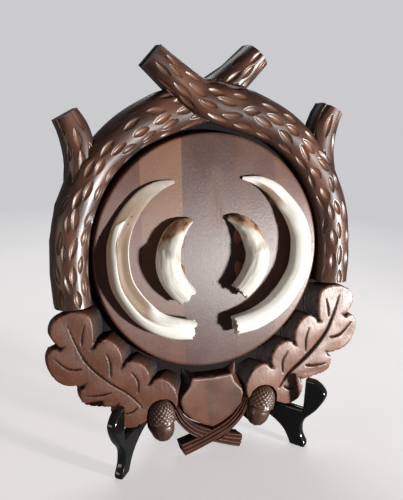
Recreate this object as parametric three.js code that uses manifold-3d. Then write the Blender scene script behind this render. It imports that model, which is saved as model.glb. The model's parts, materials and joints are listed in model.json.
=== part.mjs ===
import * as THREE from "three";
import * as BufferGeometryUtils from "three/addons/utils/BufferGeometryUtils.js";
import Module from "manifold-3d";

// Boar tusk trophy plaque on a folding stand. Millimetres, +Z up, the front faces -Y.
// The carving is laid out from the round field's centre, x to the right and y up the plaque.
// Places on the plaque are shares of the field's radius, so the whole layout follows it.

const wasm = await Module();
wasm.setup();

// Driving sizes of the plaque
const discRadius = 100;
const boardThickness = 8;
const fieldThickness = 7.7;
const glueGap = 0.3;
const leanAngle = THREE.MathUtils.degToRad(10);
const carvingOverlap = 1;
const boardSetback = 0.8;

// Driving sizes of the stand
const carvingClearance = 7.8;
const hingeBehindField = 60;
const standHalfAngle = THREE.MathUtils.degToRad(40);
const standBoardThickness = 8;
const notchDepth = 31;
const lipDepth = 20;
const armRise = 92;

const fieldFace = boardThickness + glueGap + fieldThickness;
const carvingBase = boardThickness + glueGap;
const lowestCarvingShare = 1.76;
const fieldCentreHeight = carvingClearance + fieldFace * Math.sin(leanAngle)
  + lowestCarvingShare * discRadius * Math.cos(leanAngle);

const model = new THREE.Group();
const plaque = new THREE.Group();
plaque.rotation.x = Math.PI / 2 - leanAngle;
plaque.position.set(0, fieldFace * Math.cos(leanAngle), fieldCentreHeight - fieldFace * Math.sin(leanAngle));
model.add(plaque);

// Finishes
const finish = (colour, roughness, metalness = 0) =>
  () => new THREE.MeshStandardMaterial({ color: colour, roughness, metalness });
const barkFinish = finish(0x6a4636, 0.35);
const leafFinish = finish(0x7c5343, 0.4);
const groundFinish = finish(0x211a19, 0.45);
const staveFinish = finish(0x84695c, 0.5);
const ivoryFinish = finish(0xe9e1d0, 0.35);
const puttyFinish = finish(0x8a5a3e, 0.7);
const acornFinish = finish(0x6b4738, 0.3);
const blackFinish = finish(0x18191b, 0.15);
const brassFinish = finish(0xb08d4a, 0.35, 1);

function toSolid(geometry) {
  const plain = geometry.index ? geometry.toNonIndexed() : geometry.clone();
  plain.deleteAttribute("normal");
  plain.deleteAttribute("uv");
  const merged = BufferGeometryUtils.mergeVertices(plain);
  return new wasm.Manifold(new wasm.Mesh({
    numProp: 3,
    vertProperties: new Float32Array(merged.attributes.position.array),
    triVerts: new Uint32Array(merged.index.array),
  }));
}

function toGeometry(solid) {
  const mesh = solid.getMesh();
  const geometry = new THREE.BufferGeometry();
  geometry.setAttribute("position", new THREE.BufferAttribute(mesh.vertProperties, 3));
  geometry.setIndex(new THREE.BufferAttribute(mesh.triVerts, 1));
  geometry.computeVertexNormals();
  return geometry;
}

function addPiece(parent, name, shape, makeMaterial) {
  const geometry = shape.isBufferGeometry ? shape : toGeometry(shape);
  const mesh = new THREE.Mesh(geometry, makeMaterial());
  mesh.name = name;
  parent.add(mesh);
  return mesh;
}

// A point of the layout, on the right (side 1) or mirrored to the left (side -1)
const onPlaque = ([xShare, yShare], side = 1) =>
  new THREE.Vector2(side * xShare * discRadius, yShare * discRadius);

function smoothRun(shares, side) {
  const points = shares.map((share) => onPlaque(share, side));
  return new THREE.SplineCurve(points);
}

// A value that changes along a run, read between its evenly spaced entries
function along(values, place) {
  const at = Math.min(Math.max(place, 0), 1) * (values.length - 1);
  const low = Math.min(Math.floor(at), values.length - 2);
  return THREE.MathUtils.lerp(values[low], values[low + 1], at - low);
}

// Closes a row of rings, each with the same number of points, into one solid
function loft(rings) {
  const count = rings[0].length;
  const points = rings.flat();
  const faces = [];
  for (let row = 0; row < rings.length - 1; row += 1) {
    for (let corner = 0; corner < count; corner += 1) {
      const a = row * count + corner;
      const b = row * count + (corner + 1) % count;
      faces.push(a, b, b + count, a, b + count, a + count);
    }
  }
  for (const [row, flip] of [[0, true], [rings.length - 1, false]]) {
    const centre = new THREE.Vector3();
    rings[row].forEach((point) => centre.add(point));
    centre.divideScalar(count);
    const middle = points.push(centre) - 1;
    for (let corner = 0; corner < count; corner += 1) {
      const a = row * count + corner;
      const b = row * count + (corner + 1) % count;
      faces.push(...(flip ? [b, a, middle] : [a, b, middle]));
    }
  }
  const geometry = new THREE.BufferGeometry().setFromPoints(points);
  geometry.setIndex(faces);
  return geometry;
}

// Rings of a section carried along a run on the plaque. section(place) gives [across, height] pairs,
// counter-clockwise seen against the run.
function sweepOnPlaque(run, steps, section) {
  const rings = [];
  for (let step = 0; step <= steps; step += 1) {
    const place = step / steps;
    const centre = run.getPointAt(place);
    const ahead = run.getTangentAt(place);
    rings.push(section(place).map(([across, height]) => new THREE.Vector3(
      centre.x - ahead.y * across,
      centre.y + ahead.x * across,
      height,
    )));
  }
  return toSolid(loft(rings));
}

// A flat-topped strip along a run, for what lies under a branch or stem or cuts across it
function strip(run, widths, margin, low, high, steps) {
  return sweepOnPlaque(run, steps, (place) => {
    const half = along(widths, place) * discRadius + margin;
    return [[half, low], [half, high], [-half, high], [-half, low]];
  });
}

function plate(shape, low, high, options = {}) {
  const geometry = new THREE.ExtrudeGeometry(shape, {
    depth: high - low, bevelEnabled: false, ...options,
  });
  geometry.translate(0, 0, low);
  return toSolid(geometry);
}

// What is left of a carved piece once thin offcuts have fallen away
function mainBody(solid) {
  const parts = solid.decompose();
  return parts.reduce((best, part) => (part.volume() > best.volume() ? part : best));
}

const union = (solids) => solids.reduce((whole, next) => whole.add(next));

// Branches: each rises from its leaf, follows the field's rim and crosses the other above it
const branchRunShares = [
  [1.17, -0.36], [1.185, -0.02], [1.135, 0.36], [0.965, 0.72], [0.7, 0.99],
  [0.4, 1.155], [0.12, 1.245], [-0.08, 1.315], [-0.28, 1.46], [-0.455, 1.625],
];
const branchHalfWidthShares = [0.148, 0.15, 0.155, 0.158, 0.155, 0.155, 0.16, 0.15, 0.13, 0.115];
const forkRunShares = [
  [1.162, 1.172], [1.105, 1.06], [1.07, 0.94], [1.055, 0.82], [1.06, 0.68], [1.09, 0.5],
];
const forkHalfWidthShares = [0.106, 0.12, 0.125, 0.122, 0.125, 0.1];
const branchCrest = 26;
const branchShoulder = 13;
const forkCrest = 22;
const lapHeight = 17;
const branchSteps = 26;
const forkSteps = 8;
const backingSteps = 11;
const boardSides = 40;
const branchSides = 7;

// Upright flanks under a rounded bark crest
function barkSection(halfWidth, crest) {
  const points = [[halfWidth, carvingBase]];
  for (let side = 0; side <= branchSides; side += 1) {
    const angle = Math.PI * side / branchSides;
    points.push([halfWidth * Math.cos(angle), branchShoulder + (crest - branchShoulder) * Math.sin(angle)]);
  }
  points.push([-halfWidth, carvingBase]);
  return points;
}

// Bark gouges: staggered rows of short hollows, pointed at both ends, as a carver strikes them
const gougeRowShares = [-0.8, -0.44, -0.08, 0.28, 0.64];
const forkGougeRowShares = [-0.55, 0, 0.55];
const gougeSpacing = 25;
const gougeLength = 16;
const gougeWidth = 4.4;
const gougeDepth = 2.2;
const gougeSides = 4;
const gougeRings = 3;
const unit = 1;
const gougeKeepoffShare = 0.05;
const gougeStagger = 0.37;
const gougeUnevenness = 0.15;
const unevenStep = 2.3;

function barkGouges(run, widths, crest, rowShares) {
  const length = run.getLength();
  const copies = Math.floor(length * (1 - 2 * gougeKeepoffShare) / gougeSpacing);
  const cutters = [];
  rowShares.forEach((rowShare, row) => {
    for (let copy = 0; copy < copies; copy += 1) {
      const uneven = gougeUnevenness * Math.sin(unevenStep * (copy * rowShares.length + row));
      const stagger = (row * gougeStagger) % 1 + uneven;
      const place = gougeKeepoffShare + Math.max(copy + stagger, 0) * gougeSpacing / length;
      const centre = run.getPointAt(place);
      const ahead = run.getTangentAt(place);
      const across = rowShare * along(widths, place) * discRadius;
      const roll = Math.acos(rowShare);
      const cutter = new THREE.SphereGeometry(unit, gougeSides, gougeRings);
      cutter.scale(gougeWidth / 2, gougeLength / 2 * (1 + uneven), gougeDepth);
      cutter.rotateY(Math.PI / 2 - roll);
      cutter.rotateZ(Math.atan2(ahead.y, ahead.x) + Math.PI / 2);
      cutter.translate(
        centre.x - ahead.y * across,
        centre.y + ahead.x * across,
        branchShoulder + (crest - branchShoulder) * Math.sin(roll),
      );
      cutters.push(toSolid(cutter));
    }
  });
  return cutters;
}

const branches = {};
for (const [name, side] of [["left", -1], ["right", 1]]) {
  const run = smoothRun(branchRunShares, side);
  const fork = smoothRun(forkRunShares, side);
  const stem = sweepOnPlaque(run, branchSteps,
    (place) => barkSection(along(branchHalfWidthShares, place) * discRadius, branchCrest));
  const spur = sweepOnPlaque(fork, forkSteps,
    (place) => barkSection(along(forkHalfWidthShares, place) * discRadius, forkCrest));
  let solid = stem.add(spur);
  const gouges = [
    ...barkGouges(run, branchHalfWidthShares, branchCrest, gougeRowShares),
    ...barkGouges(fork, forkHalfWidthShares, forkCrest, forkGougeRowShares),
  ];
  for (const gouge of gouges) solid = solid.subtract(gouge);
  branches[name] = { run, fork, solid };
}
// The right branch lies over the left one: each gives up half its depth where they cross
const overStrip = (margin, low, high) =>
  strip(branches.right.run, branchHalfWidthShares, margin, low, high, branchSteps);
const underStrip = (margin, low, high) =>
  strip(branches.left.run, branchHalfWidthShares, margin, low, high, branchSteps);
const crossingTop = branchCrest + carvingOverlap;
branches.left.solid = branches.left.solid.subtract(overStrip(glueGap, lapHeight, crossingTop));
branches.right.solid = branches.right.solid.subtract(
  underStrip(glueGap, boardThickness - carvingOverlap, lapHeight + glueGap));
addPiece(plaque, "branch_left", mainBody(branches.left.solid), barkFinish);
addPiece(plaque, "branch_right", mainBody(branches.right.solid), barkFinish);

// Leaves: one outline of rounded lobes, from notch to notch, mirrored for the left leaf
const leafLobeShares = [
  [[1.03, -0.71], [1.025, -0.55], [1.06, -0.43], [1.2, -0.395], [1.34, -0.45], [1.38, -0.57], [1.3, -0.69]],
  [[1.3, -0.69], [1.38, -0.69], [1.415, -0.78], [1.38, -0.91], [1.28, -1.0], [1.13, -1.03]],
  [[1.13, -1.03], [1.165, -1.08], [1.13, -1.18], [1.0, -1.225], [0.86, -1.245]],
  [[0.86, -1.245], [0.875, -1.34], [0.82, -1.425], [0.72, -1.455], [0.62, -1.42], [0.545, -1.38]],
  [[0.545, -1.38], [0.42, -1.4], [0.335, -1.34], [0.32, -1.22], [0.38, -1.1], [0.48, -1.045], [0.56, -1.08]],
  [[0.56, -1.08], [0.57, -0.98], [0.63, -0.895], [0.73, -0.86], [0.79, -0.895]],
  [[0.79, -0.895], [0.8, -0.78], [0.85, -0.69], [0.94, -0.645], [1.03, -0.71]],
];
const leafMidribShares = [
  [0.635, -1.29], [0.74, -1.16], [0.93, -1.01], [1.09, -0.84], [1.18, -0.66], [1.235, -0.5],
];
const leafVeinShares = [
  [[1.13, -0.68], [1.12, -0.59], [1.1, -0.52]],
  [[1.14, -0.88], [1.25, -0.86], [1.36, -0.76]],
  [[0.9, -1.115], [1.0, -1.125], [1.1, -1.12]],
  [[0.68, -1.28], [0.74, -1.315], [0.82, -1.31]],
  [[0.9, -0.98], [0.9, -0.87], [0.93, -0.77]],
  [[0.67, -1.15], [0.67, -1.05], [0.72, -0.96]],
];
const leafThickness = 10.5;
const leafEdgeRound = 1.5;
const leafEdgeSteps = 2;
const leafSteps = 7;
const leafBackingSteps = 4;
const midribWidth = 3.2;
const veinWidth = 1.8;
const veinDepth = 1.6;
const veinSteps = 5;
const veinTaperShare = 0.75;
const veinRiseShare = 0.6;
const leafFace = carvingBase + leafThickness;
const leafSlopeReach = 10;
const leafSlopeDirectionShares = [0.93, 0.37];
const fieldGrooveShare = 1.035;
const leafTopShare = -0.383;
const leafCentreShare = [0.9, -0.95];

function leafShape(side, keepShare = 1, steps = leafSteps) {
  const centre = onPlaque(leafCentreShare, side);
  const shape = new THREE.Shape();
  const toward = (share) => onPlaque(share, side).sub(centre).multiplyScalar(keepShare).add(centre);
  leafLobeShares.forEach((lobe, index) => {
    const points = lobe.map(toward);
    const curve = new THREE.SplineCurve(points);
    const dense = curve.getPoints(steps).slice(0, -1);
    dense.forEach((point, step) => {
      if (index === 0 && step === 0) shape.moveTo(point.x, point.y);
      else shape.lineTo(point.x, point.y);
    });
  });
  shape.closePath();
  return shape;
}

// A vein is a V groove, widest at its root and running out at its tip
function veinCutter(shares, side, width, face) {
  const run = smoothRun(shares, side);
  return sweepOnPlaque(run, veinSteps, (place) => {
    const half = (width / 2) * (1 - veinTaperShare * place);
    const depth = veinDepth * (1 - veinRiseShare * place);
    const above = face + carvingOverlap;
    return [[half, above], [-half, above], [-half, face], [0, face - depth], [half, face]];
  });
}

// Acorns: a cup and a nut turned about one axis, flat at the back, hanging from the leaf's hood
const acornRimShare = [0.46, -1.445];
const leftAcornTilt = THREE.MathUtils.degToRad(5);
const rightAcornTilt = THREE.MathUtils.degToRad(16);
const acornTilt = (side) => (side < 0 ? leftAcornTilt : rightAcornTilt);
const acornAxisHeight = 14.5;
const cupRadius = 12.3;
const cupHeight = 19.5;
const nutRadius = 10.4;
const nutLength = 18.5;
const acornSides = 14;
const cupProfileShares = [
  [0, 0], [0.93, 0], [1, 0.1], [0.99, 0.35], [0.86, 0.66], [0.6, 0.87], [0.3, 0.97], [0, 1],
];
const nutProfileShares = [
  [0, 1], [0.1, 0.99], [0.2, 0.955], [0.55, 0.87], [0.84, 0.66],
  [0.98, 0.38], [0.98, 0.15], [0.92, 0], [0, 0],
];
const hollowMargin = 1.6;

function turned(profile, side) {
  const lathe = new THREE.LatheGeometry(profile, acornSides);
  lathe.rotateZ(-side * acornTilt(side));
  const rim = onPlaque(acornRimShare, side);
  lathe.translate(rim.x, rim.y, acornAxisHeight);
  return toSolid(lathe);
}

const cupProfile = (margin) => cupProfileShares.map(([r, h]) =>
  new THREE.Vector2(r * (cupRadius + margin), h * (cupHeight + margin)));
const nutProfile = (margin) => nutProfileShares.map(([r, h]) =>
  new THREE.Vector2(r * (nutRadius + margin), -glueGap - h * (nutLength + margin)));

// All the space above a height, wider and higher than the plaque
const beyondShare = 3;
const beyondPlaque = 2 * beyondShare * discRadius;
function allAbove(height) {
  const space = new THREE.BoxGeometry(beyondPlaque, beyondPlaque, beyondShare * branchCrest);
  space.translate(0, 0, height + beyondShare * branchCrest / 2);
  return toSolid(space);
}
const aboveBoard = allAbove(carvingBase);

for (const [name, side] of [["left", -1], ["right", 1]]) {
  addPiece(plaque, `acorn_cup_${name}`, turned(cupProfile(0), side).intersect(aboveBoard), acornFinish);
  addPiece(plaque, `acorn_nut_${name}`, turned(nutProfile(0), side).intersect(aboveBoard), acornFinish);
}

// Shield: a blank face on sloping sides, with two ears that run up to the field's groove
const shieldFaceShares = [
  [0, -1.105], [0.12, -1.1], [0.18, -1.095], [0.205, -1.165], [0.275, -1.245],
  [0.29, -1.3], [0.265, -1.385], [0.18, -1.47], [0.09, -1.525], [0, -1.56],
];
const shieldBaseShares = [
  [0, -1.075], [0.15, -1.07], [0.245, -1.02], [0.25, -1.12], [0.305, -1.22],
  [0.31, -1.3], [0.285, -1.395], [0.195, -1.485], [0.1, -1.54], [0, -1.575],
];
const shieldCentreShare = [0, -1.3];
const shieldThickness = 9.5;

function shieldRing(shares, height, margin) {
  const right = shares.map((share) => onPlaque(share));
  const left = shares.slice(1, -1).map((share) => onPlaque(share, -1)).reverse();
  const centre = onPlaque(shieldCentreShare);
  return [...right, ...left].reverse().map((point) => {
    const outward = point.clone().sub(centre).setLength(margin);
    return new THREE.Vector3(point.x + outward.x, point.y + outward.y, height);
  });
}

const shieldFace = carvingBase + shieldThickness;
addPiece(plaque, "shield", loft([
  shieldRing(shieldBaseShares, carvingBase, 0),
  shieldRing(shieldFaceShares, shieldFace, 0),
]), leafFinish);
const shieldKeepOut = toSolid(loft([
  shieldRing(shieldBaseShares, carvingBase - carvingOverlap, 2 * glueGap),
  shieldRing(shieldBaseShares, crossingTop, 2 * glueGap),
]));

// Stems: two grooved twigs that pass under the shield and cross, the right one on top
const stemRunShares = [
  [0.335, -1.35], [0.27, -1.475], [0.16, -1.58], [0, -1.655], [-0.15, -1.71], [-0.27, -1.745],
];
const stemHalfWidthShares = [0.03, 0.042, 0.047, 0.05, 0.052, 0.055];
const stemTop = 17;
const stemLap = 12;
const stemGrooves = 3;
const stemGrooveDepth = 1.1;
const stemSteps = 10;
const stemTopPoints = 9;
const stemRuns = { left: smoothRun(stemRunShares, -1), right: smoothRun(stemRunShares, 1) };

// On their inner sides the leaves slope down to the ground, up to the groove round the field
function leafSlope(side) {
  const geometry = new THREE.ExtrudeGeometry(leafShape(side), { depth: leafThickness, bevelEnabled: false });
  const reach = onPlaque(leafSlopeDirectionShares, -side).setLength(leafSlopeReach);
  geometry.applyMatrix4(new THREE.Matrix4().makeShear(
    0, 0, 0, 0, -reach.x / leafThickness, -reach.y / leafThickness));
  geometry.translate(reach.x, reach.y, carvingBase);
  const grooveRadius = fieldGrooveShare * discRadius;
  const groove = new THREE.CylinderGeometry(grooveRadius, grooveRadius, 2 * crossingTop, boardSides);
  groove.rotateX(Math.PI / 2);
  const above = new THREE.BoxGeometry(beyondPlaque, discRadius, 2 * crossingTop);
  above.translate(0, leafTopShare * discRadius + discRadius / 2, 0);
  return toSolid(geometry).subtract(toSolid(groove)).subtract(toSolid(above));
}

// Leaves, with the acorn's hollow and the veins cut in
const leafVeins = (side) => [
  veinCutter(leafMidribShares, side, midribWidth, leafFace),
  ...leafVeinShares.map((shares) => veinCutter(shares, side, veinWidth, leafFace)),
];
for (const [name, side] of [["left", -1], ["right", 1]]) {
  let leaf = plate(leafShape(side), carvingBase, leafFace - leafEdgeRound, {
    bevelEnabled: true, bevelThickness: leafEdgeRound, bevelSize: leafEdgeRound,
    bevelOffset: -leafEdgeRound, bevelSegments: leafEdgeSteps,
  }).intersect(aboveBoard).add(leafSlope(side));
  leaf = leaf.subtract(turned(cupProfile(hollowMargin), side));
  leaf = leaf.subtract(turned(nutProfile(hollowMargin), side));
  leaf = leaf.subtract(shieldKeepOut).subtract(
    strip(stemRuns[name], stemHalfWidthShares, glueGap, boardThickness, crossingTop, stemSteps));
  for (const vein of leafVeins(side)) leaf = leaf.subtract(vein);
  addPiece(plaque, `leaf_${name}`, mainBody(leaf), leafFinish);
}

function stemSection(halfWidth) {
  const points = [[halfWidth, carvingBase]];
  for (let step = 0; step <= stemTopPoints; step += 1) {
    const place = step / stemTopPoints;
    const groove = stemGrooveDepth * (0.5 - 0.5 * Math.cos(2 * Math.PI * stemGrooves * place));
    points.push([halfWidth * (1 - 2 * place), stemTop - groove]);
  }
  points.push([-halfWidth, carvingBase]);
  return points;
}

for (const [name, side] of [["left", -1], ["right", 1]]) {
  const other = side < 0 ? stemRuns.right : stemRuns.left;
  let stem = sweepOnPlaque(stemRuns[name], stemSteps,
    (place) => stemSection(along(stemHalfWidthShares, place) * discRadius));
  const crossing = side < 0
    ? strip(other, stemHalfWidthShares, glueGap, stemLap, crossingTop, stemSteps)
    : strip(other, stemHalfWidthShares, glueGap, boardThickness, stemLap + glueGap, stemSteps);
  stem = stem.subtract(crossing).subtract(shieldKeepOut);
  stem = stem.subtract(turned(cupProfile(hollowMargin), side));
  stem = stem.subtract(turned(nutProfile(hollowMargin), side));
  addPiece(plaque, `stem_${name}`, mainBody(stem), leafFinish);
}

// Backboard: its outline follows what is glued to it, set back a little under all but the shield
const groundRadiusShare = 1.22;
const leafBackingShare = 0.965;
const acornBackingSteps = 4;
let board = new THREE.CylinderGeometry(groundRadiusShare * discRadius, groundRadiusShare * discRadius,
  boardThickness, boardSides);
board.rotateX(Math.PI / 2);
board.translate(0, 0, boardThickness / 2);
board = toSolid(board);
for (const [name, side] of [["left", -1], ["right", 1]]) {
  const { run, fork } = branches[name];
  const backings = [
    strip(run, branchHalfWidthShares, -boardSetback, 0, boardThickness, backingSteps),
    strip(fork, forkHalfWidthShares, -boardSetback, 0, boardThickness, forkSteps),
    strip(stemRuns[name], stemHalfWidthShares, -boardSetback, 0, boardThickness, forkSteps),
    plate(leafShape(side, leafBackingShare, leafBackingSteps), 0, boardThickness),
    toSolid(loft([shieldRing(shieldBaseShares, 0, 0), shieldRing(shieldBaseShares, boardThickness, 0)])),
  ];
  const acornBackRadius = nutRadius - boardSetback;
  const nut = new THREE.CylinderGeometry(acornBackRadius, acornBackRadius, boardThickness, acornSides);
  nut.rotateX(Math.PI / 2);
  const rim = onPlaque(acornRimShare, side);
  const down = new THREE.Vector2(-side * Math.sin(acornTilt(side)), -Math.cos(acornTilt(side)));
  const nutEnd = rim.clone().addScaledVector(down, nutLength - nutRadius);
  nut.translate(nutEnd.x, nutEnd.y, boardThickness / 2);
  const acornRun = new THREE.SplineCurve([rim.clone().addScaledVector(down, -cupHeight), rim, nutEnd]);
  const neck = sweepOnPlaque(acornRun, acornBackingSteps, () => [
    [acornBackRadius, 0], [acornBackRadius, boardThickness],
    [-acornBackRadius, boardThickness], [-acornBackRadius, 0],
  ]);
  board = union([board, ...backings, toSolid(nut), neck]);
}

// Round field, glued up from upright staves
const staveEdgeShares = [-1.1, -0.59, -0.23, 0.235, 0.6, 1.1];
const staveNames = ["far_left", "left", "centre", "right", "far_right"];
const fieldSides = 72;
const staveJoint = 0.25;
const fieldDisc = new THREE.CylinderGeometry(discRadius, discRadius, fieldThickness, fieldSides);
fieldDisc.rotateX(Math.PI / 2);
fieldDisc.translate(0, 0, carvingBase + fieldThickness / 2);
const field = toSolid(fieldDisc);
staveNames.forEach((name, index) => {
  const low = staveEdgeShares[index] * discRadius + staveJoint / 2;
  const high = staveEdgeShares[index + 1] * discRadius - staveJoint / 2;
  const slice = new THREE.BoxGeometry(high - low, beyondShare * discRadius, 4 * fieldThickness);
  slice.translate((low + high) / 2, 0, carvingBase);
  addPiece(plaque, `field_stave_${name}`, field.intersect(toSolid(slice)), staveFinish);
});

// Tusks: the large lower pair outside, the small upper pair inside, bedded on putty. A section runs
// from its outer side over the top, in shares of the half width across and of the full height up.
const roundSectionShares = [
  [1, 0.5], [0.87, 0.75], [0.5, 0.93], [0, 1], [-0.5, 0.93], [-0.87, 0.75],
  [-1, 0.5], [-0.87, 0.25], [-0.5, 0.07], [0, 0], [0.5, 0.07], [0.87, 0.25],
];
const ridgedSectionShares = [
  [1, 0.42], [0.92, 0.68], [0.68, 0.88], [0.33, 1], [-0.02, 0.8], [-0.42, 0.66],
  [-0.76, 0.66], [-0.98, 0.46], [-0.86, 0.18], [-0.45, 0], [0.45, 0], [0.88, 0.16],
];
const flatSectionShares = [
  [1, 0.45], [0.86, 0.66], [0.55, 0.76], [0.2, 0.8], [-0.2, 0.8], [-0.6, 0.76],
  [-0.88, 0.64], [-1, 0.42], [-0.86, 0.18], [-0.4, 0], [0.4, 0], [0.86, 0.2],
];
const slantedSectionShares = [
  [0.92, 0.3], [0.75, 0.5], [0.5, 0.68], [0.15, 0.85], [-0.3, 0.9], [-0.75, 0.74],
  [-0.98, 0.44], [-0.86, 0.17], [-0.45, 0], [0.1, 0], [0.5, 0.03], [0.82, 0.13],
];
const tusks = {
  large: {
    runShares: [
      [0.3, 0.61], [0.435, 0.58], [0.56, 0.51], [0.665, 0.4], [0.75, 0.27], [0.805, 0.12], [0.81, -0.04],
      [0.785, -0.19], [0.725, -0.31], [0.63, -0.435], [0.51, -0.535], [0.36, -0.605], [0.19, -0.64],
    ],
    halfWidthShares: [
      0.006, 0.027, 0.048, 0.06, 0.072, 0.08, 0.087, 0.093, 0.097, 0.099, 0.096, 0.093, 0.085,
    ],
    heightShare: 0.95, steps: 19, wornSection: flatSectionShares, wornEndShares: [0.27, 0.31],
    bodySection: ridgedSectionShares, rootStartShares: [0.8, 0.9],
    bedShares: [[0.6, 0.44], [0.6, -0.46]],
  },
  small: {
    runShares: [
      [0.165, 0.285], [0.25, 0.265], [0.325, 0.205], [0.38, 0.09],
      [0.402, -0.04], [0.375, -0.155], [0.315, -0.26], [0.235, -0.345],
    ],
    halfWidthShares: [0.008, 0.042, 0.072, 0.093, 0.101, 0.102, 0.097, 0.088],
    heightShare: 0.85, steps: 13, wornSection: slantedSectionShares, wornEndShares: [0.38, 0.52],
    bodySection: roundSectionShares, rootStartShares: [0.8, 0.9],
    bedShares: [[0.265, 0.13], [0.27, -0.175]],
  },
};
const bedThickness = 1;
const bedLength = 9;
const bedWidth = 4.5;
const bedHeight = 2.2;
const rootRaggedness = 1.6;
const raggedStep = 2.4;
const bedTurnShare = 0.4;
const bedSides = 8;
const bedRings = 4;

// Worn at the tip, with a ridge and a hollow along the body, round again at the root
function tuskSection(tusk, place, side, grow) {
  const half = along(tusk.halfWidthShares, place) * discRadius;
  const height = 2 * half * tusk.heightShare;
  const body = THREE.MathUtils.smoothstep(place, ...tusk.wornEndShares);
  const root = THREE.MathUtils.smoothstep(place, ...tusk.rootStartShares);
  return tusk.bodySection.map((bodyPoint, corner) => {
    const [across, up] = bodyPoint.map((share, axis) => {
      const unworn = THREE.MathUtils.lerp(tusk.wornSection[corner][axis], share, body);
      return THREE.MathUtils.lerp(unworn, roundSectionShares[corner][axis], root);
    });
    const middle = fieldFace + bedThickness + height / 2;
    return [
      side * (half + grow) * across,
      middle + (height + 2 * grow) * (up - 0.5),
    ];
  });
}

function tuskSolid(tusk, side, grow) {
  const run = smoothRun(tusk.runShares, side);
  const rings = [];
  for (let step = 0; step <= tusk.steps; step += 1) {
    const place = step / tusk.steps;
    const centre = run.getPointAt(place);
    const ahead = run.getTangentAt(place);
    const ragged = step === tusk.steps ? rootRaggedness : 0;
    const ring = tuskSection(tusk, place, side, grow).map(([across, height], corner) => {
      const slip = ragged * Math.sin(corner * raggedStep);
      return new THREE.Vector3(
        centre.x - ahead.y * across + ahead.x * slip,
        centre.y + ahead.x * across + ahead.y * slip,
        height,
      );
    });
    rings.push(side < 0 ? ring.reverse() : ring);
  }
  return toSolid(loft(rings));
}

const aboveField = allAbove(fieldFace + glueGap);
for (const [size, tusk] of Object.entries(tusks)) {
  for (const [name, side] of [["left", -1], ["right", 1]]) {
    addPiece(plaque, `tusk_${size}_${name}`, tuskSolid(tusk, side, 0), ivoryFinish);
    const keepOut = tuskSolid(tusk, side, glueGap);
    tusk.bedShares.forEach((share, index) => {
      const bed = new THREE.SphereGeometry(unit, bedSides, bedRings);
      bed.scale(bedWidth, bedLength, bedHeight);
      const at = onPlaque(share, side);
      bed.rotateZ(-side * Math.atan2(at.y, Math.abs(at.x)) * bedTurnShare);
      bed.translate(at.x, at.y, fieldFace + glueGap);
      const solid = toSolid(bed).intersect(aboveField).subtract(keepOut);
      addPiece(plaque, `putty_${size}_${name}_${index ? "root" : "tip"}`, solid, puttyFinish);
    });
  }
}

// Ring hanger at the top of the back: a strap with a rolled eye, two screws and a ring
const hangerHeightShare = 0.95;
const eyeRadius = 3.2;
const eyeBore = 2.1;
const eyeLength = 7;
const eyeCentreDepth = 4.4;
const ringRadius = 9;
const ringWire = 1.1;
const strapWidth = 11;
const strapLength = 34;
const strapThickness = 1.2;
const hangerScrewShares = [0.58, 0.86];
const screwHeadRadius = 2.6;
const screwHeadThickness = 1;
const screwShankRadius = 1;
const screwShankLength = 5;
const screwClearance = 0.3;
const roundSides = 10;
const ringSides = 20;
const ringWireSides = 6;
const cutOverrun = 1;

const hangerY = hangerHeightShare * discRadius;
const strapOuter = -glueGap - strapThickness;

function rod(radius, length, centre, axis) {
  const geometry = new THREE.CylinderGeometry(radius, radius, length, roundSides);
  if (axis === "x") geometry.rotateZ(Math.PI / 2);
  if (axis === "z") geometry.rotateX(Math.PI / 2);
  geometry.translate(...centre);
  return toSolid(geometry);
}

function block(size, centre) {
  return toSolid(new THREE.BoxGeometry(...size).translate(...centre));
}

let strap = block([strapWidth, strapLength, strapThickness],
  [0, hangerY - strapLength / 2, -glueGap - strapThickness / 2]);
strap = strap.add(rod(eyeRadius, eyeLength, [0, hangerY, -eyeCentreDepth], "x"));
strap = strap.subtract(rod(eyeBore, eyeLength + cutOverrun, [0, hangerY, -eyeCentreDepth], "x"));
const screwHoleRadius = screwShankRadius + screwClearance;
const screwHole = (y) => rod(screwHoleRadius, 2 * screwShankLength + cutOverrun, [0, y, 0], "z");
hangerScrewShares.forEach((share, index) => {
  const y = hangerY - share * strapLength;
  strap = strap.subtract(screwHole(y));
  board = board.subtract(screwHole(y));
  const headTop = strapOuter - glueGap - screwHeadThickness;
  const head = rod(screwHeadRadius, screwHeadThickness, [0, y, headTop + screwHeadThickness / 2], "z");
  const shankMiddle = (screwShankLength + headTop) / 2 - glueGap;
  const shank = rod(screwShankRadius, screwShankLength - headTop, [0, y, shankMiddle], "z");
  addPiece(plaque, `hanger_screw_${index ? "lower" : "upper"}`, head.add(shank), brassFinish);
});
addPiece(plaque, "hanger_strap", strap, brassFinish);
addPiece(plaque, "backboard", mainBody(board), groundFinish);

const hangerRing = new THREE.Group();
hangerRing.position.set(0, hangerY, -eyeCentreDepth);
hangerRing.rotation.x = leanAngle;
plaque.add(hangerRing);
const ring = new THREE.TorusGeometry(ringRadius, ringWire, ringWireSides, ringSides);
ring.translate(0, -ringRadius, 0);
addPiece(hangerRing, "hanger_ring", toSolid(ring), brassFinish);

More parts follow.
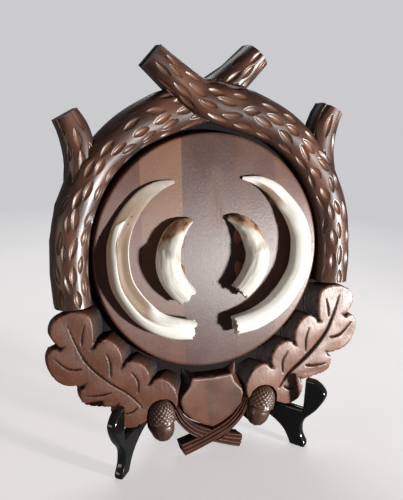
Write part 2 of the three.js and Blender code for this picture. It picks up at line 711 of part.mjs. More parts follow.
// Folding stand: two cut boards joined by a butt hinge along their rear edges. Each board is drawn
// forwards and upwards from the hinge pin, with its inner face on the pin.
const plaqueLowShare = 1.455;
const restClearance = 0.3;
const lipClearance = 4;
const backPlaneAt = (height) => {
  const aboveCentre = height - fieldCentreHeight;
  const rise = aboveCentre + fieldFace * Math.sin(leanAngle);
  return rise * Math.tan(leanAngle) + fieldFace * Math.cos(leanAngle);
};
const reachAt = (depth) => (hingeBehindField - depth) / Math.cos(standHalfAngle);
const notchFloor = fieldCentreHeight - plaqueLowShare * discRadius * Math.cos(leanAngle)
  - (fieldFace - carvingBase) * Math.sin(leanAngle) - restClearance;
const standEdgeRound = 1.2;
const standEdgeSteps = 1;
const standCurveSteps = 3;
const armReachAt = (height) => reachAt(backPlaneAt(height))
  + standEdgeRound * Math.tan(standHalfAngle) - restClearance / Math.cos(standHalfAngle);
const frontFaceDepth = -plaqueLowShare * discRadius * Math.sin(leanAngle)
  - (leafFace - fieldFace) * Math.cos(leanAngle);
const lipReach = reachAt(frontFaceDepth - lipClearance - standBoardThickness * Math.sin(standHalfAngle));
const knuckleRadius = 2.4;
const pinRadius = 1.2;
const pinClearance = 0.3;
const edgeClearance = 1.2;
const edgeReach = knuckleRadius + edgeClearance;

// Points below the notch are shares of the elbow's reach and of the notch's height, points of the arm
// are shares of its foot's reach and its rise, and points of the lip are shares of its depth and height
const elbowReach = lipReach + lipDepth;
const armFootReach = armReachAt(notchFloor);
const armTop = notchFloor + armRise;
const low = ([forward, up]) => new THREE.Vector2(forward * elbowReach, up * notchFloor);
const onArm = ([forward, up]) => new THREE.Vector2(forward * armFootReach, notchFloor + up * armRise);
const onLip = ([forward, up]) =>
  new THREE.Vector2(lipReach + forward * lipDepth, notchFloor + up * notchDepth);
const rearFootShare = 0.13;
const rearTopShare = 0.45;
const frontFootShares = [0.8, 0.895];
const archShares = [[0.16, 0.22], [0.28, 0.56], [0.45, 0.69], [0.62, 0.62], [0.74, 0.37]];
const shinShares = [[0.9, 0.13], [0.868, 0.37], [0.875, 0.7]];
const lipShares = [[0.65, 0.1], [1, 0.6], [0.8, 0.86], [0.45, 1]];
const armBackShares = [[0.7, 1.03], [0.63, 1.01], [0.48, 0.71], [0.33, 0.52], [0.18, 0.46]];
const boardOutline = new THREE.Shape();
boardOutline.moveTo(edgeReach, 0);
boardOutline.lineTo(rearFootShare * elbowReach, 0);
boardOutline.splineThru([...archShares, [frontFootShares[0], 0]].map(low));
boardOutline.lineTo(frontFootShares[1] * elbowReach, 0);
boardOutline.splineThru([...shinShares.map(low), ...lipShares.map(onLip)]);
boardOutline.lineTo(lipReach, notchFloor + notchDepth);
boardOutline.lineTo(lipReach, notchFloor);
boardOutline.lineTo(armFootReach, notchFloor);
boardOutline.lineTo(armReachAt(armTop), armTop);
boardOutline.splineThru(armBackShares.map(onArm));
boardOutline.lineTo(edgeReach, notchFloor + rearTopShare * armRise);
boardOutline.closePath();

const hingeHeight = 44;
const hingeLow = 18;
const hingeKnuckles = 3;
const leafWidth = 15;
const leafMetal = 1.2;
const knuckleGap = 0.3;
const hingeScrewShares = [0.22, 0.78];
const knuckleLength = hingeHeight / hingeKnuckles;

// Drawn with x forwards from the pin, y up and z outwards through the board, then stood up and turned
function standPiece(solid, side) {
  const geometry = toGeometry(side < 0 ? solid : solid.mirror([0, 0, 1]));
  geometry.rotateX(Math.PI / 2);
  geometry.rotateZ(-Math.PI / 2);
  return geometry;
}

for (const [name, side, knuckles] of [["left", -1, [0, 2]], ["right", 1, [1]]]) {
  const half = new THREE.Group();
  half.position.set(0, hingeBehindField, 0);
  half.rotation.z = side * standHalfAngle;
  model.add(half);
  let body = plate(boardOutline, standEdgeRound, standBoardThickness - standEdgeRound, {
    curveSegments: standCurveSteps, bevelEnabled: true, bevelThickness: standEdgeRound,
    bevelSize: standEdgeRound, bevelOffset: -standEdgeRound, bevelSegments: standEdgeSteps,
  });
  const leafDepth = leafMetal + glueGap;
  body = body.subtract(block(
    [leafWidth + glueGap, hingeHeight + 2 * glueGap, leafDepth + cutOverrun],
    [(leafWidth + glueGap) / 2, hingeLow + hingeHeight / 2, (leafDepth - cutOverrun) / 2]));
  let flap = block([leafWidth - edgeReach, hingeHeight, leafMetal],
    [(leafWidth + edgeReach) / 2, hingeLow + hingeHeight / 2, leafMetal / 2]);
  for (const knuckle of knuckles) {
    const middle = hingeLow + (knuckle + 0.5) * knuckleLength;
    const length = knuckleLength - 2 * knuckleGap;
    const neckReach = edgeReach + leafMetal;
    flap = flap.add(rod(knuckleRadius, length, [0, middle, 0], "y"));
    flap = flap.add(block([neckReach, length, leafMetal], [neckReach / 2, middle, leafMetal / 2]));
  }
  const hingeMiddle = [0, hingeLow + hingeHeight / 2, 0];
  flap = flap.subtract(rod(pinRadius + pinClearance, hingeHeight + cutOverrun, hingeMiddle, "y"));
  const screwReach = (leafWidth + edgeReach) / 2;
  hingeScrewShares.forEach((place, index) => {
    const height = hingeLow + place * hingeHeight;
    const hole = rod(screwHoleRadius, 2 * screwShankLength, [screwReach, height, 0], "z");
    body = body.subtract(hole);
    flap = flap.subtract(hole);
    const headBottom = -glueGap - screwHeadThickness;
    const shankTop = screwShankLength - glueGap;
    const headMiddle = headBottom + screwHeadThickness / 2;
    const head = rod(screwHeadRadius, screwHeadThickness, [screwReach, height, headMiddle], "z");
    const shankMiddle = (shankTop + headBottom) / 2;
    const shank = rod(screwShankRadius, shankTop - headBottom, [screwReach, height, shankMiddle], "z");
    const screw = standPiece(head.add(shank), side);
    addPiece(half, `hinge_screw_${name}_${index ? "upper" : "lower"}`, screw, brassFinish);
  });
  addPiece(half, `stand_board_${name}`, standPiece(body, side), blackFinish);
  addPiece(half, `hinge_leaf_${name}`, standPiece(flap, side), brassFinish);
}
const pin = rod(pinRadius, hingeHeight, [0, hingeLow + hingeHeight / 2, 0], "y");
const pinGroup = new THREE.Group();
pinGroup.position.set(0, hingeBehindField, 0);
model.add(pinGroup);
addPiece(pinGroup, "hinge_pin", standPiece(pin, 1), brassFinish);

// The part stands on its origin: the middle of its outline seen from above, at the feet
const extent = new THREE.Box3().setFromObject(model);
model.position.set(-(extent.min.x + extent.max.x) / 2, -(extent.min.y + extent.max.y) / 2, -extent.min.z);

export default model;
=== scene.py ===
import json
import math

import bmesh
import bpy
import numpy as np
from mathutils import Matrix, Vector, noise
from mathutils.geometry import delaunay_2d_cdt, tessellate_polygon
from mathutils.kdtree import KDTree


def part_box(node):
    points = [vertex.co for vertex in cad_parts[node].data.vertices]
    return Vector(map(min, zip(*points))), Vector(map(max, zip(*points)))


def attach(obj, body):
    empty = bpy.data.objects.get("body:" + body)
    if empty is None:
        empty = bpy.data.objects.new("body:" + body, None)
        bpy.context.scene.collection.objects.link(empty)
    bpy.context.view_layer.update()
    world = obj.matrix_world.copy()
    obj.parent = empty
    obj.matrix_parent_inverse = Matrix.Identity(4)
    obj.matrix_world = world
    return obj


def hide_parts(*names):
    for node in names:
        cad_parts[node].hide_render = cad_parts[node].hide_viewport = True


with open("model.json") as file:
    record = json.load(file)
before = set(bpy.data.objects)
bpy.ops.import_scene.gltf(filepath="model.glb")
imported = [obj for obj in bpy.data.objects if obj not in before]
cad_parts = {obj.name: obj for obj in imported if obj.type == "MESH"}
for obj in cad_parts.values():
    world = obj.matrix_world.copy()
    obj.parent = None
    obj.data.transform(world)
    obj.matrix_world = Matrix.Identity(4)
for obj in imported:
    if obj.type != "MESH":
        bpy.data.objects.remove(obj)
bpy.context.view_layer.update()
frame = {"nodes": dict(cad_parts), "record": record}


# The field: a round panel glued up from five upright staves of different boards, stained, sanded
# smooth and sealed with a satin varnish. Its rim is eased with a file and the joints just show.
# Lengths on the plaque are in millimetres: x right and y up from the field's centre, z from its back.
MM = 0.001
lean = math.radians(10)
field_radius = 100.0
field_face = 16.0
carving_base = 8.3
carving_clearance = 7.8
lowest_carving = 176.0
hinge_behind_field = 60.0
pin_low, pin_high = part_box("hinge_pin")
field_front = (pin_low.y + pin_high.y) / 2 - hinge_behind_field * MM
field_height = carving_clearance + field_face * math.sin(lean) + lowest_carving * math.cos(lean)
plaque_place = Matrix.Translation((
    0,
    field_front + field_face * math.cos(lean) * MM,
    (field_height - field_face * math.sin(lean)) * MM,
)) @ Matrix.Rotation(math.pi / 2 - lean, 4, "X")


def turning(a, b, c):
    """Twice the area of triangles, below zero where their corners run clockwise."""
    first, second = b - a, c - a
    return first[..., 0] * second[..., 1] - first[..., 1] * second[..., 0]


def triangulate(lines, inside, spacing, fine=None, fine_reach=math.inf):
    """Triangles over all that is inside, with the lines as edges: their points and corner numbers.
    The fine spacing, where there is one, holds up to its reach from the lines."""
    row_height, least_gap, closest, least_area = 0.866, 0.55, 1e-5, 1e-7
    corners, edges = [], []
    for line, closed in lines:
        first = len(corners)
        corners.extend(line.tolist())
        edges.extend((first + i, first + i + 1) for i in range(len(line) - 1))
        if closed:
            edges.append((first + len(line) - 1, first))
    near = KDTree(len(corners))
    for index, corner in enumerate(corners):
        near.insert((*corner, 0), index)
    near.balance()
    low, high = np.min(corners, axis=0), np.max(corners, axis=0)
    bands = [(spacing, 0, math.inf)]
    if fine:
        bands = [(fine, 0, fine_reach), (spacing, fine_reach, math.inf)]
    for step, band_start, band_end in bands:
        rows = np.arange(low[1], high[1], step * row_height)
        grid = np.array([(x + (row % 2) * step / 2, y)
                         for row, y in enumerate(rows) for x in np.arange(low[0], high[0], step)])
        for x, y in grid[inside(grid)]:
            away = near.find((x, y, 0))[2]
            if max(least_gap * step, band_start) < away <= band_end:
                corners.append([x, y])
    points, _, faces, *_ = delaunay_2d_cdt([Vector(c) for c in corners], edges, [], 0, closest, False)
    points = np.array([p[:] for p in points])
    faces = np.array([f for f in faces if len(f) == 3])
    faces = faces[inside(points[faces].mean(axis=1))]
    turn = turning(*(points[faces[:, i]] for i in range(3)))
    faces[turn < 0] = faces[turn < 0][:, ::-1]
    used, faces = np.unique(faces[np.abs(turn) > least_area], return_inverse=True)
    return points[used], faces.reshape(-1, 3)


def rim_loops(faces):
    """The closed rims of a sheet of triangles, each a list of point numbers."""
    edges = {(int(f[i]), int(f[(i + 1) % 3])) for f in faces for i in range(3)}
    after = {}
    for a, b in edges:
        if (b, a) not in edges:
            after.setdefault(a, []).append(b)
    loops = []
    while after:
        at = next(iter(after))
        loop = []
        while at in after:
            loop.append(at)
            follow = after[at].pop()
            if not after[at]:
                del after[at]
            at = follow
        loops.append(loop)
    return loops


def closed_slab(flat, faces, top, bottom):
    """A solid between two heights over a sheet of triangles: its points and faces."""
    loops = rim_loops(faces)
    rim = list(dict.fromkeys(index for loop in loops for index in loop))
    under = {index: len(flat) + place for place, index in enumerate(rim)}
    points = np.vstack([np.column_stack([flat, top]),
                        np.column_stack([flat[rim], np.full(len(rim), bottom)])])
    made = [tuple(f) for f in faces.tolist()]
    for loop in loops:
        made += [(b, a, under[a], under[b]) for a, b in zip(loop, loop[1:] + loop[:1])]
    in_order = [index for loop in loops for index in loop]
    for triangle in tessellate_polygon([[Vector((*flat[i], 0)) for i in loop] for loop in loops]):
        corners = [in_order[i] for i in triangle]
        floor = tuple(under[i] for i in corners)
        made.append(floor if turning(*flat[corners]) < 0 else floor[::-1])
    return points, made


def eased_edge(to_edge, radius):
    """How far a rounded edge has dropped at a distance from the outline."""
    return radius * (1 - np.sqrt(1 - np.clip(1 - to_edge / radius, 0, 1) ** 2))


def noise_at(x, y, x_scale, y_scale, layer):
    """Smooth noise over places, finer where a scale is larger and a different one for each layer."""
    values = [noise.noise((u * x_scale, v * y_scale, layer)) for u, v in zip(x.flat, y.flat)]
    return np.reshape(values, x.shape)


def make_mesh(points, faces, marks=None):
    """A mesh from points in millimetres, with values on its points that colour the finish."""
    unmarked = 0.5
    mesh = bpy.data.meshes.new("rough")
    mesh.from_pydata((np.asarray(points) * MM).tolist(), [], faces)
    for key, values in (marks or {}).items():
        layer = mesh.attributes.new(key, "FLOAT", "POINT")
        full = np.full(len(mesh.vertices), unmarked, np.float32)
        full[:values.size] = values.ravel()
        layer.data.foreach_set("value", full)
    mesh.validate()
    return mesh


def new_object(name, data):
    """A new object in the scene, which holds a mesh, a lamp or a camera."""
    made = bpy.data.objects.new(name, data)
    bpy.context.scene.collection.objects.link(made)
    return made


def add_piece(name, mesh, material, node, body="plaque", place=plaque_place, sharp=40):
    """Puts a mesh in its place as a piece of its own, instead of a CAD node, and hands it to its body."""
    mesh.name = name
    mesh.shade_smooth()
    mesh.set_sharp_from_angle(angle=math.radians(sharp))
    mesh.materials.clear()
    mesh.materials.append(material)
    piece = new_object(name, mesh)
    piece.matrix_world = place
    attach(piece, body)
    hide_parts(node)


def stain(red, green, blue):
    """A colour as the eye reads it on the wood, turned into the linear values that a shader takes."""
    shares = [c / 255 for c in (red, green, blue)]
    return (*[c / 12.92 if c <= 0.04045 else ((c + 0.055) / 1.055) ** 2.4 for c in shares], 1)


def put(tree, kind, settings=None, **sockets):
    """Adds a shader node. Its sockets, by name or as _ and number, take values or other nodes' outputs."""
    made = tree.nodes.new("ShaderNode" + kind)
    for key, value in (settings or {}).items():
        setattr(made, key, value)
    for key, value in sockets.items():
        socket = made.inputs[int(key[1:])] if key[1:].isdigit() else made.inputs[key.replace("_", " ")]
        if isinstance(value, bpy.types.NodeSocket):
            tree.links.new(value, socket)
        else:
            socket.default_value = value
    return made


def calc(tree, operation, first, second=0.0, third=0.0):
    """A sum worked out over the surface."""
    return put(tree, "Math", {"operation": operation}, _0=first, _1=second, _2=third).outputs[0]


def summed(tree, start, *added):
    """A value with a share of each of the others added to it."""
    for value, share in added:
        start = calc(tree, "MULTIPLY_ADD", value, share, start)
    return start


def mix(tree, share, first, second):
    """The second colour laid over the first by its share."""
    return put(tree, "Mix", {"data_type": "RGBA"}, _0=share, _6=first, _7=second).outputs[2]


def ramp(tree, value, *stops):
    """A run of greys over a value from 0 to 1, each stop a place and how light it is."""
    made = put(tree, "ValToRGB", Fac=value)
    for element, (at, light) in zip(made.color_ramp.elements, stops):
        element.position = at
        element.color = (light, light, light, 1)
    return made.outputs["Color"]


def noise_over(tree, spot, scale, stretch=None, **settings):
    """Noise over a place, finer where the scale is larger and drawn out where the stretch is small."""
    if stretch:
        spot = put(tree, "Mapping", Vector=spot, Scale=stretch).outputs[0]
    return put(tree, "TexNoise", Vector=spot, Scale=scale, **settings).outputs["Fac"]


def mark(tree, name):
    """A value that a mesh carries on its points."""
    return put(tree, "Attribute", {"attribute_name": name}).outputs["Fac"]


def new_group(name, inputs, outputs):
    """An empty shader node group: the group, what comes into it and what it gives out, by name."""
    group = bpy.data.node_groups.new(name, "ShaderNodeTree")
    for in_out, sockets in (("INPUT", inputs), ("OUTPUT", outputs)):
        for socket, kind in sockets.items():
            group.interface.new_socket(socket, in_out=in_out, socket_type="NodeSocket" + kind)
    return group, group.nodes.new("NodeGroupInput").outputs, group.nodes.new("NodeGroupOutput").inputs


def new_finish(name):
    """A new material, with its nodes and its shader."""
    material = bpy.data.materials.new(name)
    material.use_nodes = True
    return material, material.node_tree, material.node_tree.nodes["Principled BSDF"]


def lay_on(tree, shader, colour, roughness, height, relief, depth, **even):
    """Leads colour, roughness and relief into a shader, and sets what is even all over."""
    tree.links.new(colour, shader.inputs["Base Color"])
    tree.links.new(roughness, shader.inputs["Roughness"])
    bump = put(tree, "Bump", Height=height, Strength=relief, Distance=depth)
    tree.links.new(bump.outputs["Normal"], shader.inputs["Normal"])
    for socket, value in even.items():
        shader.inputs[socket.replace("_", " ")].default_value = value


# Wood grain that runs up the plaque: soft streaks, open pores as short dashes, clouds and satin specks
grain, grain_in, grain_out = new_group(
    "wood_grain", {"Fineness": "Float"}, dict.fromkeys(("Streaks", "Pores", "Clouds", "Satin"), "Float"))
spot = put(grain, "VectorMath", {"operation": "SCALE"}, _0=put(grain, "TexCoord").outputs["Object"],
           Scale=grain_in["Fineness"]).outputs[0]
streaks = noise_over(grain, spot, 230.0, (1.0, 0.09, 1.0), Detail=6.0, Roughness=0.62, Distortion=0.35)
pores = noise_over(grain, spot, 1500.0, (1.0, 0.16, 1.0), Detail=2.0, Roughness=0.5)
clouds = noise_over(grain, spot, 34.0, Detail=4.0, Roughness=0.55)
satin = noise_over(grain, spot, 900.0, (1.0, 0.6, 1.0), Detail=4.0, Roughness=0.7)
grain.links.new(streaks, grain_out["Streaks"])
grain.links.new(ramp(grain, pores, (0.56, 0.0), (0.68, 1.0)), grain_out["Pores"])
grain.links.new(clouds, grain_out["Clouds"])
grain.links.new(satin, grain_out["Satin"])

# Stain and varnish over the grain: dark where it lies deep and where shade is painted in, paler where
# hands and cloths rub it and where a highlight is painted in, and bare where a later cut went through
# it. Each layer is laid over the ones before by its share.
coat, coat_in, coat_out = new_group(
    "stained_finish",
    {**dict.fromkeys(("Wood", "Deep", "Rubbed"), "Color"),
     **dict.fromkeys(("Streaks", "Pores", "Clouds", "Satin", "Low", "Wear", "Cut", "Gloss"), "Float")},
    {"Colour": "Color", "Roughness": "Float", "Height": "Float"})
fresh_cut = stain(158, 106, 74)
streaky = ramp(coat, coat_in["Streaks"], (0.3, 0.0), (0.75, 1.0))
cloudy = ramp(coat, coat_in["Clouds"], (0.4, 0.0), (0.7, 1.0))
speckled = ramp(coat, coat_in["Satin"], (0.42, 1.0), (0.6, 0.0))
layers = [
    (calc(coat, "MULTIPLY", streaky, 0.3), coat_in["Deep"]),
    (calc(coat, "MULTIPLY", cloudy, 0.35), coat_in["Rubbed"]),
    (calc(coat, "MULTIPLY", coat_in["Pores"], 0.25), coat_in["Deep"]),
    (calc(coat, "MULTIPLY", speckled, 0.3), coat_in["Deep"]),
    (coat_in["Wear"], coat_in["Rubbed"]),
    (coat_in["Cut"], fresh_cut),
    (coat_in["Low"], coat_in["Deep"]),
]
colour = coat_in["Wood"]
for share, layer in layers:
    colour = mix(coat, share, colour, layer)
coat.links.new(colour, coat_out["Colour"])
coat.links.new(summed(coat, coat_in["Gloss"], (coat_in["Clouds"], 0.14), (coat_in["Pores"], 0.12),
                      (coat_in["Low"], 0.28)), coat_out["Roughness"])
coat.links.new(summed(coat, 0.0, (coat_in["Streaks"], 0.35), (coat_in["Pores"], -0.3),
                      (coat_in["Satin"], 1.0)), coat_out["Height"])


def stained_wood(name, wood, deep, rubbed, gloss, fineness=1.0, relief=0.12, varnish=0.0, spread=0.8,
                 shine=0.5):
    """Stained, varnished wood. Its sheen is spread across the grain, which runs up the plaque."""
    material, tree, shader = new_finish(name)
    figure = put(tree, "Group", {"node_tree": grain}, Fineness=fineness).outputs
    finish = put(
        tree, "Group", {"node_tree": coat}, Wood=stain(*wood), Deep=stain(*deep), Rubbed=stain(*rubbed),
        Streaks=figure["Streaks"], Pores=figure["Pores"], Clouds=figure["Clouds"], Satin=figure["Satin"],
        Low=mark(tree, "low"), Wear=mark(tree, "wear"), Cut=mark(tree, "cut"), Gloss=gloss).outputs
    lay_on(tree, shader, finish["Colour"], finish["Roughness"], finish["Height"], relief, 0.0004,
           Anisotropic=spread, Specular_IOR_Level=shine, Coat_Weight=varnish, Coat_Roughness=0.3)
    turned = {"vector_type": "VECTOR", "convert_from": "OBJECT", "convert_to": "WORLD"}
    across_grain = put(tree, "VectorTransform", turned, Vector=(1, 0, 0)).outputs[0]
    tree.links.new(across_grain, shader.inputs["Tangent"])
    return material


# Each stave: its left and right edge, and its wood's colour, the stain's darkest and the rubbed wood
staves = {
    "far_left": (-110.0, -59.0, (100, 60, 50), (72, 42, 35), (122, 80, 66)),
    "left": (-59.0, -23.0, (98, 62, 50), (74, 46, 36), (136, 97, 72)),
    "centre": (-23.0, 23.5, (84, 56, 50), (60, 40, 35), (106, 76, 68)),
    "right": (23.5, 60.0, (90, 58, 48), (64, 42, 35), (114, 82, 70)),
    "far_right": (60.0, 110.0, (104, 66, 52), (76, 46, 37), (128, 90, 72)),
}
stave_joint = 0.06
rim_ease = 1.6
streak_x, streak_width, streak_low, streak_high, streak_fade = 8, 6, 16, 74, 12
knot_x, knot_y, knot_width, knot_length = 5, -80, 0.9, 4
pale_from, pale_fade = -30, 70
arc = math.pi * np.arange(0, 360) / 180
circle = np.column_stack([np.cos(arc), np.sin(arc)]) * field_radius
for name, (left_edge, right_edge, wood, deep, rubbed) in staves.items():
    low_x = max(left_edge + stave_joint / 2, -field_radius)
    high_x = min(right_edge - stave_joint / 2, field_radius)

    def in_stave(points):
        """Which points lie on the stave that is being made."""
        return (points[:, 0] > low_x) & (points[:, 0] < high_x) \
            & (np.hypot(points[:, 0], points[:, 1]) < field_radius)

    lines = [(circle, True)]
    for edge in (low_x, high_x):
        if abs(edge) < field_radius:
            reach = math.sqrt(field_radius ** 2 - edge ** 2)
            upright = np.arange(-reach, reach, 2.0)
            lines.append((np.column_stack([np.full(len(upright), edge), upright]), False))
    flat, faces = triangulate(lines, in_stave, spacing=1.7, fine=0.8, fine_reach=2.4)
    x, y = flat.T
    to_rim = field_radius - np.hypot(x, y)
    points, faces = closed_slab(flat, faces, field_face - eased_edge(to_rim, rim_ease), carving_base)
    streak = np.exp(-((x - streak_x) / streak_width) ** 2) \
        * np.clip((y - streak_low) / streak_fade, 0, 1) * np.clip((streak_high - y) / streak_fade, 0, 1)
    streak *= 0.55 + 0.9 * noise_at(x, y, 0.6, 0.05, 2.0)
    knot = np.exp(-((x - knot_x) / knot_width) ** 2 - ((y - knot_y) / knot_length) ** 2)
    wear = 0.25 * np.clip(1 - to_rim / 2, 0, 1)
    # The left stave is paler towards its top.
    if name == "left":
        wear = np.maximum(wear, 0.55 * np.clip((y - pale_from) / pale_fade, 0, 1))
    marks = {
        "wear": wear,
        "low": np.clip(0.85 * streak + 0.7 * knot, 0, 1),
        "cut": np.clip(0.5 * streak, 0, 1),
    }
    stave_wood = stained_wood(f"stave_{name}_wood", wood, deep, rubbed, 0.27, relief=0.16, shine=0.44)
    add_piece(f"stave_{name}", make_mesh(points, faces, marks), stave_wood, f"field_stave_{name}")


# The backboard: one dark-stained board that everything is glued to. It shows as the black ground
# between the field, the branches and the leaves, and is left in bare brown wood on its back.
def paint(node, material):
    """Gives its finish to a CAD piece that keeps its own shape."""
    mesh = frame["nodes"][node].data
    mesh.materials.clear()
    mesh.materials.append(material)


ground_wood = stained_wood("ground_wood", (24, 18, 17), (11, 8, 8), (38, 29, 27), 0.7,
                           spread=0.2, shine=0.15)
ground = ground_wood.node_tree
back_way = (0, math.cos(lean), -math.sin(lean))
surface = put(ground, "TexCoord").outputs
facing_back = put(ground, "VectorMath", {"operation": "DOT_PRODUCT"}, _0=surface["Normal"], _1=back_way)
back_streaks = noise_over(ground, surface["Object"], 170.0, (1.0, 1.0, 0.06), Detail=6.0, Roughness=0.62,
                          Distortion=0.4)
back_pores = noise_over(ground, surface["Object"], 1300.0, (1.0, 1.0, 0.06), Detail=2.0)
pale_wood, dark_wood, open_pore = stain(150, 110, 80), stain(100, 68, 48), stain(60, 40, 30)
bare = mix(ground, ramp(ground, back_streaks, (0.35, 0.0), (0.65, 1.0)), pale_wood, dark_wood)
bare = mix(ground, ramp(ground, back_pores, (0.56, 0.0), (0.66, 0.6)), bare, open_pore)
ground_colour = ground.nodes["Principled BSDF"].inputs["Base Color"]
back_share = ramp(ground, facing_back.outputs["Value"], (0.8, 0.0), (0.9, 1.0))
ground.links.new(mix(ground, back_share, ground_colour.links[0].from_socket, bare), ground_colour)
paint("backboard", ground_wood)


# Tusks: four boar tusks, the long curved lower pair outside and the short thick upper pair inside,
# polished enamel and dentine, set on the field with putty. Their tips are worn to flat facets.
sides = {"left": -1, "right": 1}


def on_plaque(shares, side=1):
    """Places given in shares of the field's radius, mirrored for the left side."""
    return np.array(shares) * field_radius * [side, 1]


def bend(at, before, start, end, after):
    """A smooth way from start to end that heads on from the point before towards the one after."""
    leave, arrive = (end - before) / 2, (after - start) / 2
    return (2 * start - 2 * end + leave + arrive) * at ** 3 \
        + (3 * end - 3 * start - 2 * leave - arrive) * at ** 2 + leave * at + start


def smooth_curve(points, steps):
    """A smooth curve through the points, with so many steps between each two."""
    points = np.asarray(points, float)
    last = len(points) - 1
    at = np.linspace(0, 1, steps, endpoint=False)[:, None]
    parts = [bend(at, points[max(i - 1, 0)], points[i], points[i + 1], points[min(i + 2, last)])
             for i in range(last)]
    return np.vstack([*parts, points[last:]])


def smooth_ring(section, columns):
    """A closed section rounded through its corners, and each point's place counted in corners."""
    corners = np.array(section, float)
    at = np.arange(columns) * len(corners) / columns
    around = [corners[(at.astype(int) + step) % len(corners)] for step in (-1, 0, 1, 2)]
    return bend((at % 1)[:, None], *around), at


def even_run(shares, side, spacing):
    """Points at even distances along a curve on the plaque, the curve's direction at each, their
    places along it from 0 to 1, and its length."""
    curve = smooth_curve(on_plaque(shares, side), 40)
    travelled = np.concatenate([[0], np.cumsum(np.hypot(*np.diff(curve, axis=0).T))])
    places = np.linspace(0, 1, max(2, round(travelled[-1] / spacing)) + 1)
    run = np.column_stack([np.interp(places * travelled[-1], travelled, curve[:, i]) for i in (0, 1)])
    ahead = np.gradient(run, axis=0)
    return run, ahead / np.hypot(*ahead.T)[:, None], places, travelled[-1]


def half_widths(places, shares):
    """Half the width at each place, in a column, from shares that are spread evenly along a run."""
    return np.interp(places, np.linspace(0, 1, len(shares)), shares)[:, None] * field_radius


def quads(rows, columns):
    """Point numbers ring by ring, the same one step round, and the faces between the rings."""
    grid = np.arange(rows * columns).reshape(rows, columns)
    right = np.roll(grid, -1, axis=1)
    return grid, right, np.stack([grid[:-1], right[:-1], right[1:], grid[1:]], axis=2).reshape(-1, 4)


def swept(run, ahead, across, heights, flip=False):
    """Points and faces of a closed body whose sections stand across a run."""
    x = run[:, :1] - ahead[:, 1:] * across
    y = run[:, 1:] + ahead[:, :1] * across
    points = np.stack([x, y, heights], axis=2).reshape(-1, 3)
    grid, right, faces = quads(*across.shape)
    faces = [tuple(f[::-1] if flip else f) for f in faces.tolist()]
    for row, backwards in ((0, True), (len(grid) - 1, False)):
        middle = len(points)
        points = np.vstack([points, points[grid[row]].mean(axis=0)])
        for a, b in zip(grid[row].tolist(), right[row].tolist()):
            faces.append((b, a, middle) if backwards != flip else (a, b, middle))
    return points, faces


def ease(value, low, high):
    """From 0 at the low value to 1 at the high one, without a kink at either."""
    t = np.clip((value - low) / (high - low), 0, 1)
    return t * t * (3 - 2 * t)


def between(value, start, end):
    """1 between two borders, each eased over a stretch of its own, and 0 beyond them."""
    return ease(value, *start) * (1 - ease(value, *end))


# A section runs from its outer side over the top, in shares of the half width across and of the
# height up. Every section has twelve corners, so that one can pass into another along a tusk. A
# finish is ivory, cream, the growth lines' colour, how strongly they are drawn and how raised.
round_section = [
    [1, 0.5], [0.87, 0.75], [0.5, 0.93], [0, 1], [-0.5, 0.93], [-0.87, 0.75],
    [-1, 0.5], [-0.87, 0.25], [-0.5, 0.07], [0, 0], [0.5, 0.07], [0.87, 0.25],
]
ridged_section = [
    [1, 0.36], [0.92, 0.64], [0.68, 0.88], [0.34, 1], [0.16, 0.7], [-0.3, 0.6],
    [-0.72, 0.62], [-0.95, 0.6], [-1, 0.36], [-0.6, 0.03], [0.45, 0], [0.88, 0.16],
]
flat_section = [
    [1, 0.45], [0.86, 0.66], [0.55, 0.76], [0.2, 0.8], [-0.2, 0.8], [-0.6, 0.76],
    [-0.88, 0.64], [-1, 0.42], [-0.86, 0.18], [-0.4, 0], [0.4, 0], [0.86, 0.2],
]
slanted_section = [
    [0.92, 0.3], [0.75, 0.5], [0.5, 0.68], [0.15, 0.85], [-0.3, 0.9], [-0.75, 0.74],
    [-0.98, 0.44], [-0.86, 0.17], [-0.45, 0], [0.1, 0], [0.5, 0.03], [0.82, 0.13],
]
tusks = {
    "large": {
        "run": [[.3, .61], [.435, .58], [.56, .51], [.665, .4], [.75, .27], [.805, .12], [.81, -.04],
                [.785, -.19], [.725, -.31], [.63, -.435], [.51, -.535], [.36, -.605], [.19, -.64]],
        "half": [.012, .046, .067, .078, .085, .089, .092, .095, .097, .099, .096, .093, .085],
        "rise": 0.95, "worn": flat_section, "body": ridged_section, "root_start": (0.72, 0.93),
        "swell": 0.012, "ripple": 0.008,
        "finish": ((236, 235, 231), (222, 215, 202), (190, 168, 140), 0.3, 0.2),
    },
    "small": {
        "run": [[.165, .283], [.245, .252], [.318, .194], [.376, .086], [.4, -.04], [.375, -.155],
                [.315, -.26], [.235, -.345]],
        "half": [.024, .072, .094, .102, .104, .103, .098, .09],
        "rise": 0.85, "worn": slanted_section, "body": round_section, "root_start": (0.8, 0.9),
        "swell": 0.03, "ripple": 0.022,
        "finish": ((222, 218, 210), (210, 202, 190), (132, 108, 86), 0.7, 0.55),
    },
}
tusk_columns = 72
tusk_bed = 1.0
root_jag, jagged_rows = 2.6, 5
worm_holes = [[-68, 35], [-71, 29]]

# Where a tusk changes: along it, from 0 at the tip to 1 at the root, and round it in corners
small_body, small_facet_end, small_facet_sides = (0.4, 0.5), (0.42, 0.5), ((-0.2, 0.5), (3.6, 4.6))
small_facet_slant, facet_wobble = 0.07, 0.012
inner_side, outer_side = (3.0, 3.5), (9.2, 9.8)
ridge_start, crest_start, crest_slant, crest_corner = (0.2, 0.42), (0.34, 0.366), 0.02, 3.3
crest_edge, crest_travel, edge_softness, hollow_side = 0.2, 3.15, 0.4, (6.5, 6.9)
facet_end, hollow_end = (0.1, 0.34), (0.84, 0.91)
flank_side, flank_end, all_round = (1.2, 2.6), (0.5, 0.85), 11.9
left_thickness, left_tip = 0.78, 0.36
right_thickness, right_tip, right_rise = 0.88, 0.6, (0.2, 0.36)
groove_ends, groove_sides = ((0.05, 0.1), (0.2, 0.27)), ((3.1, 3.6), (6.4, 7.0))


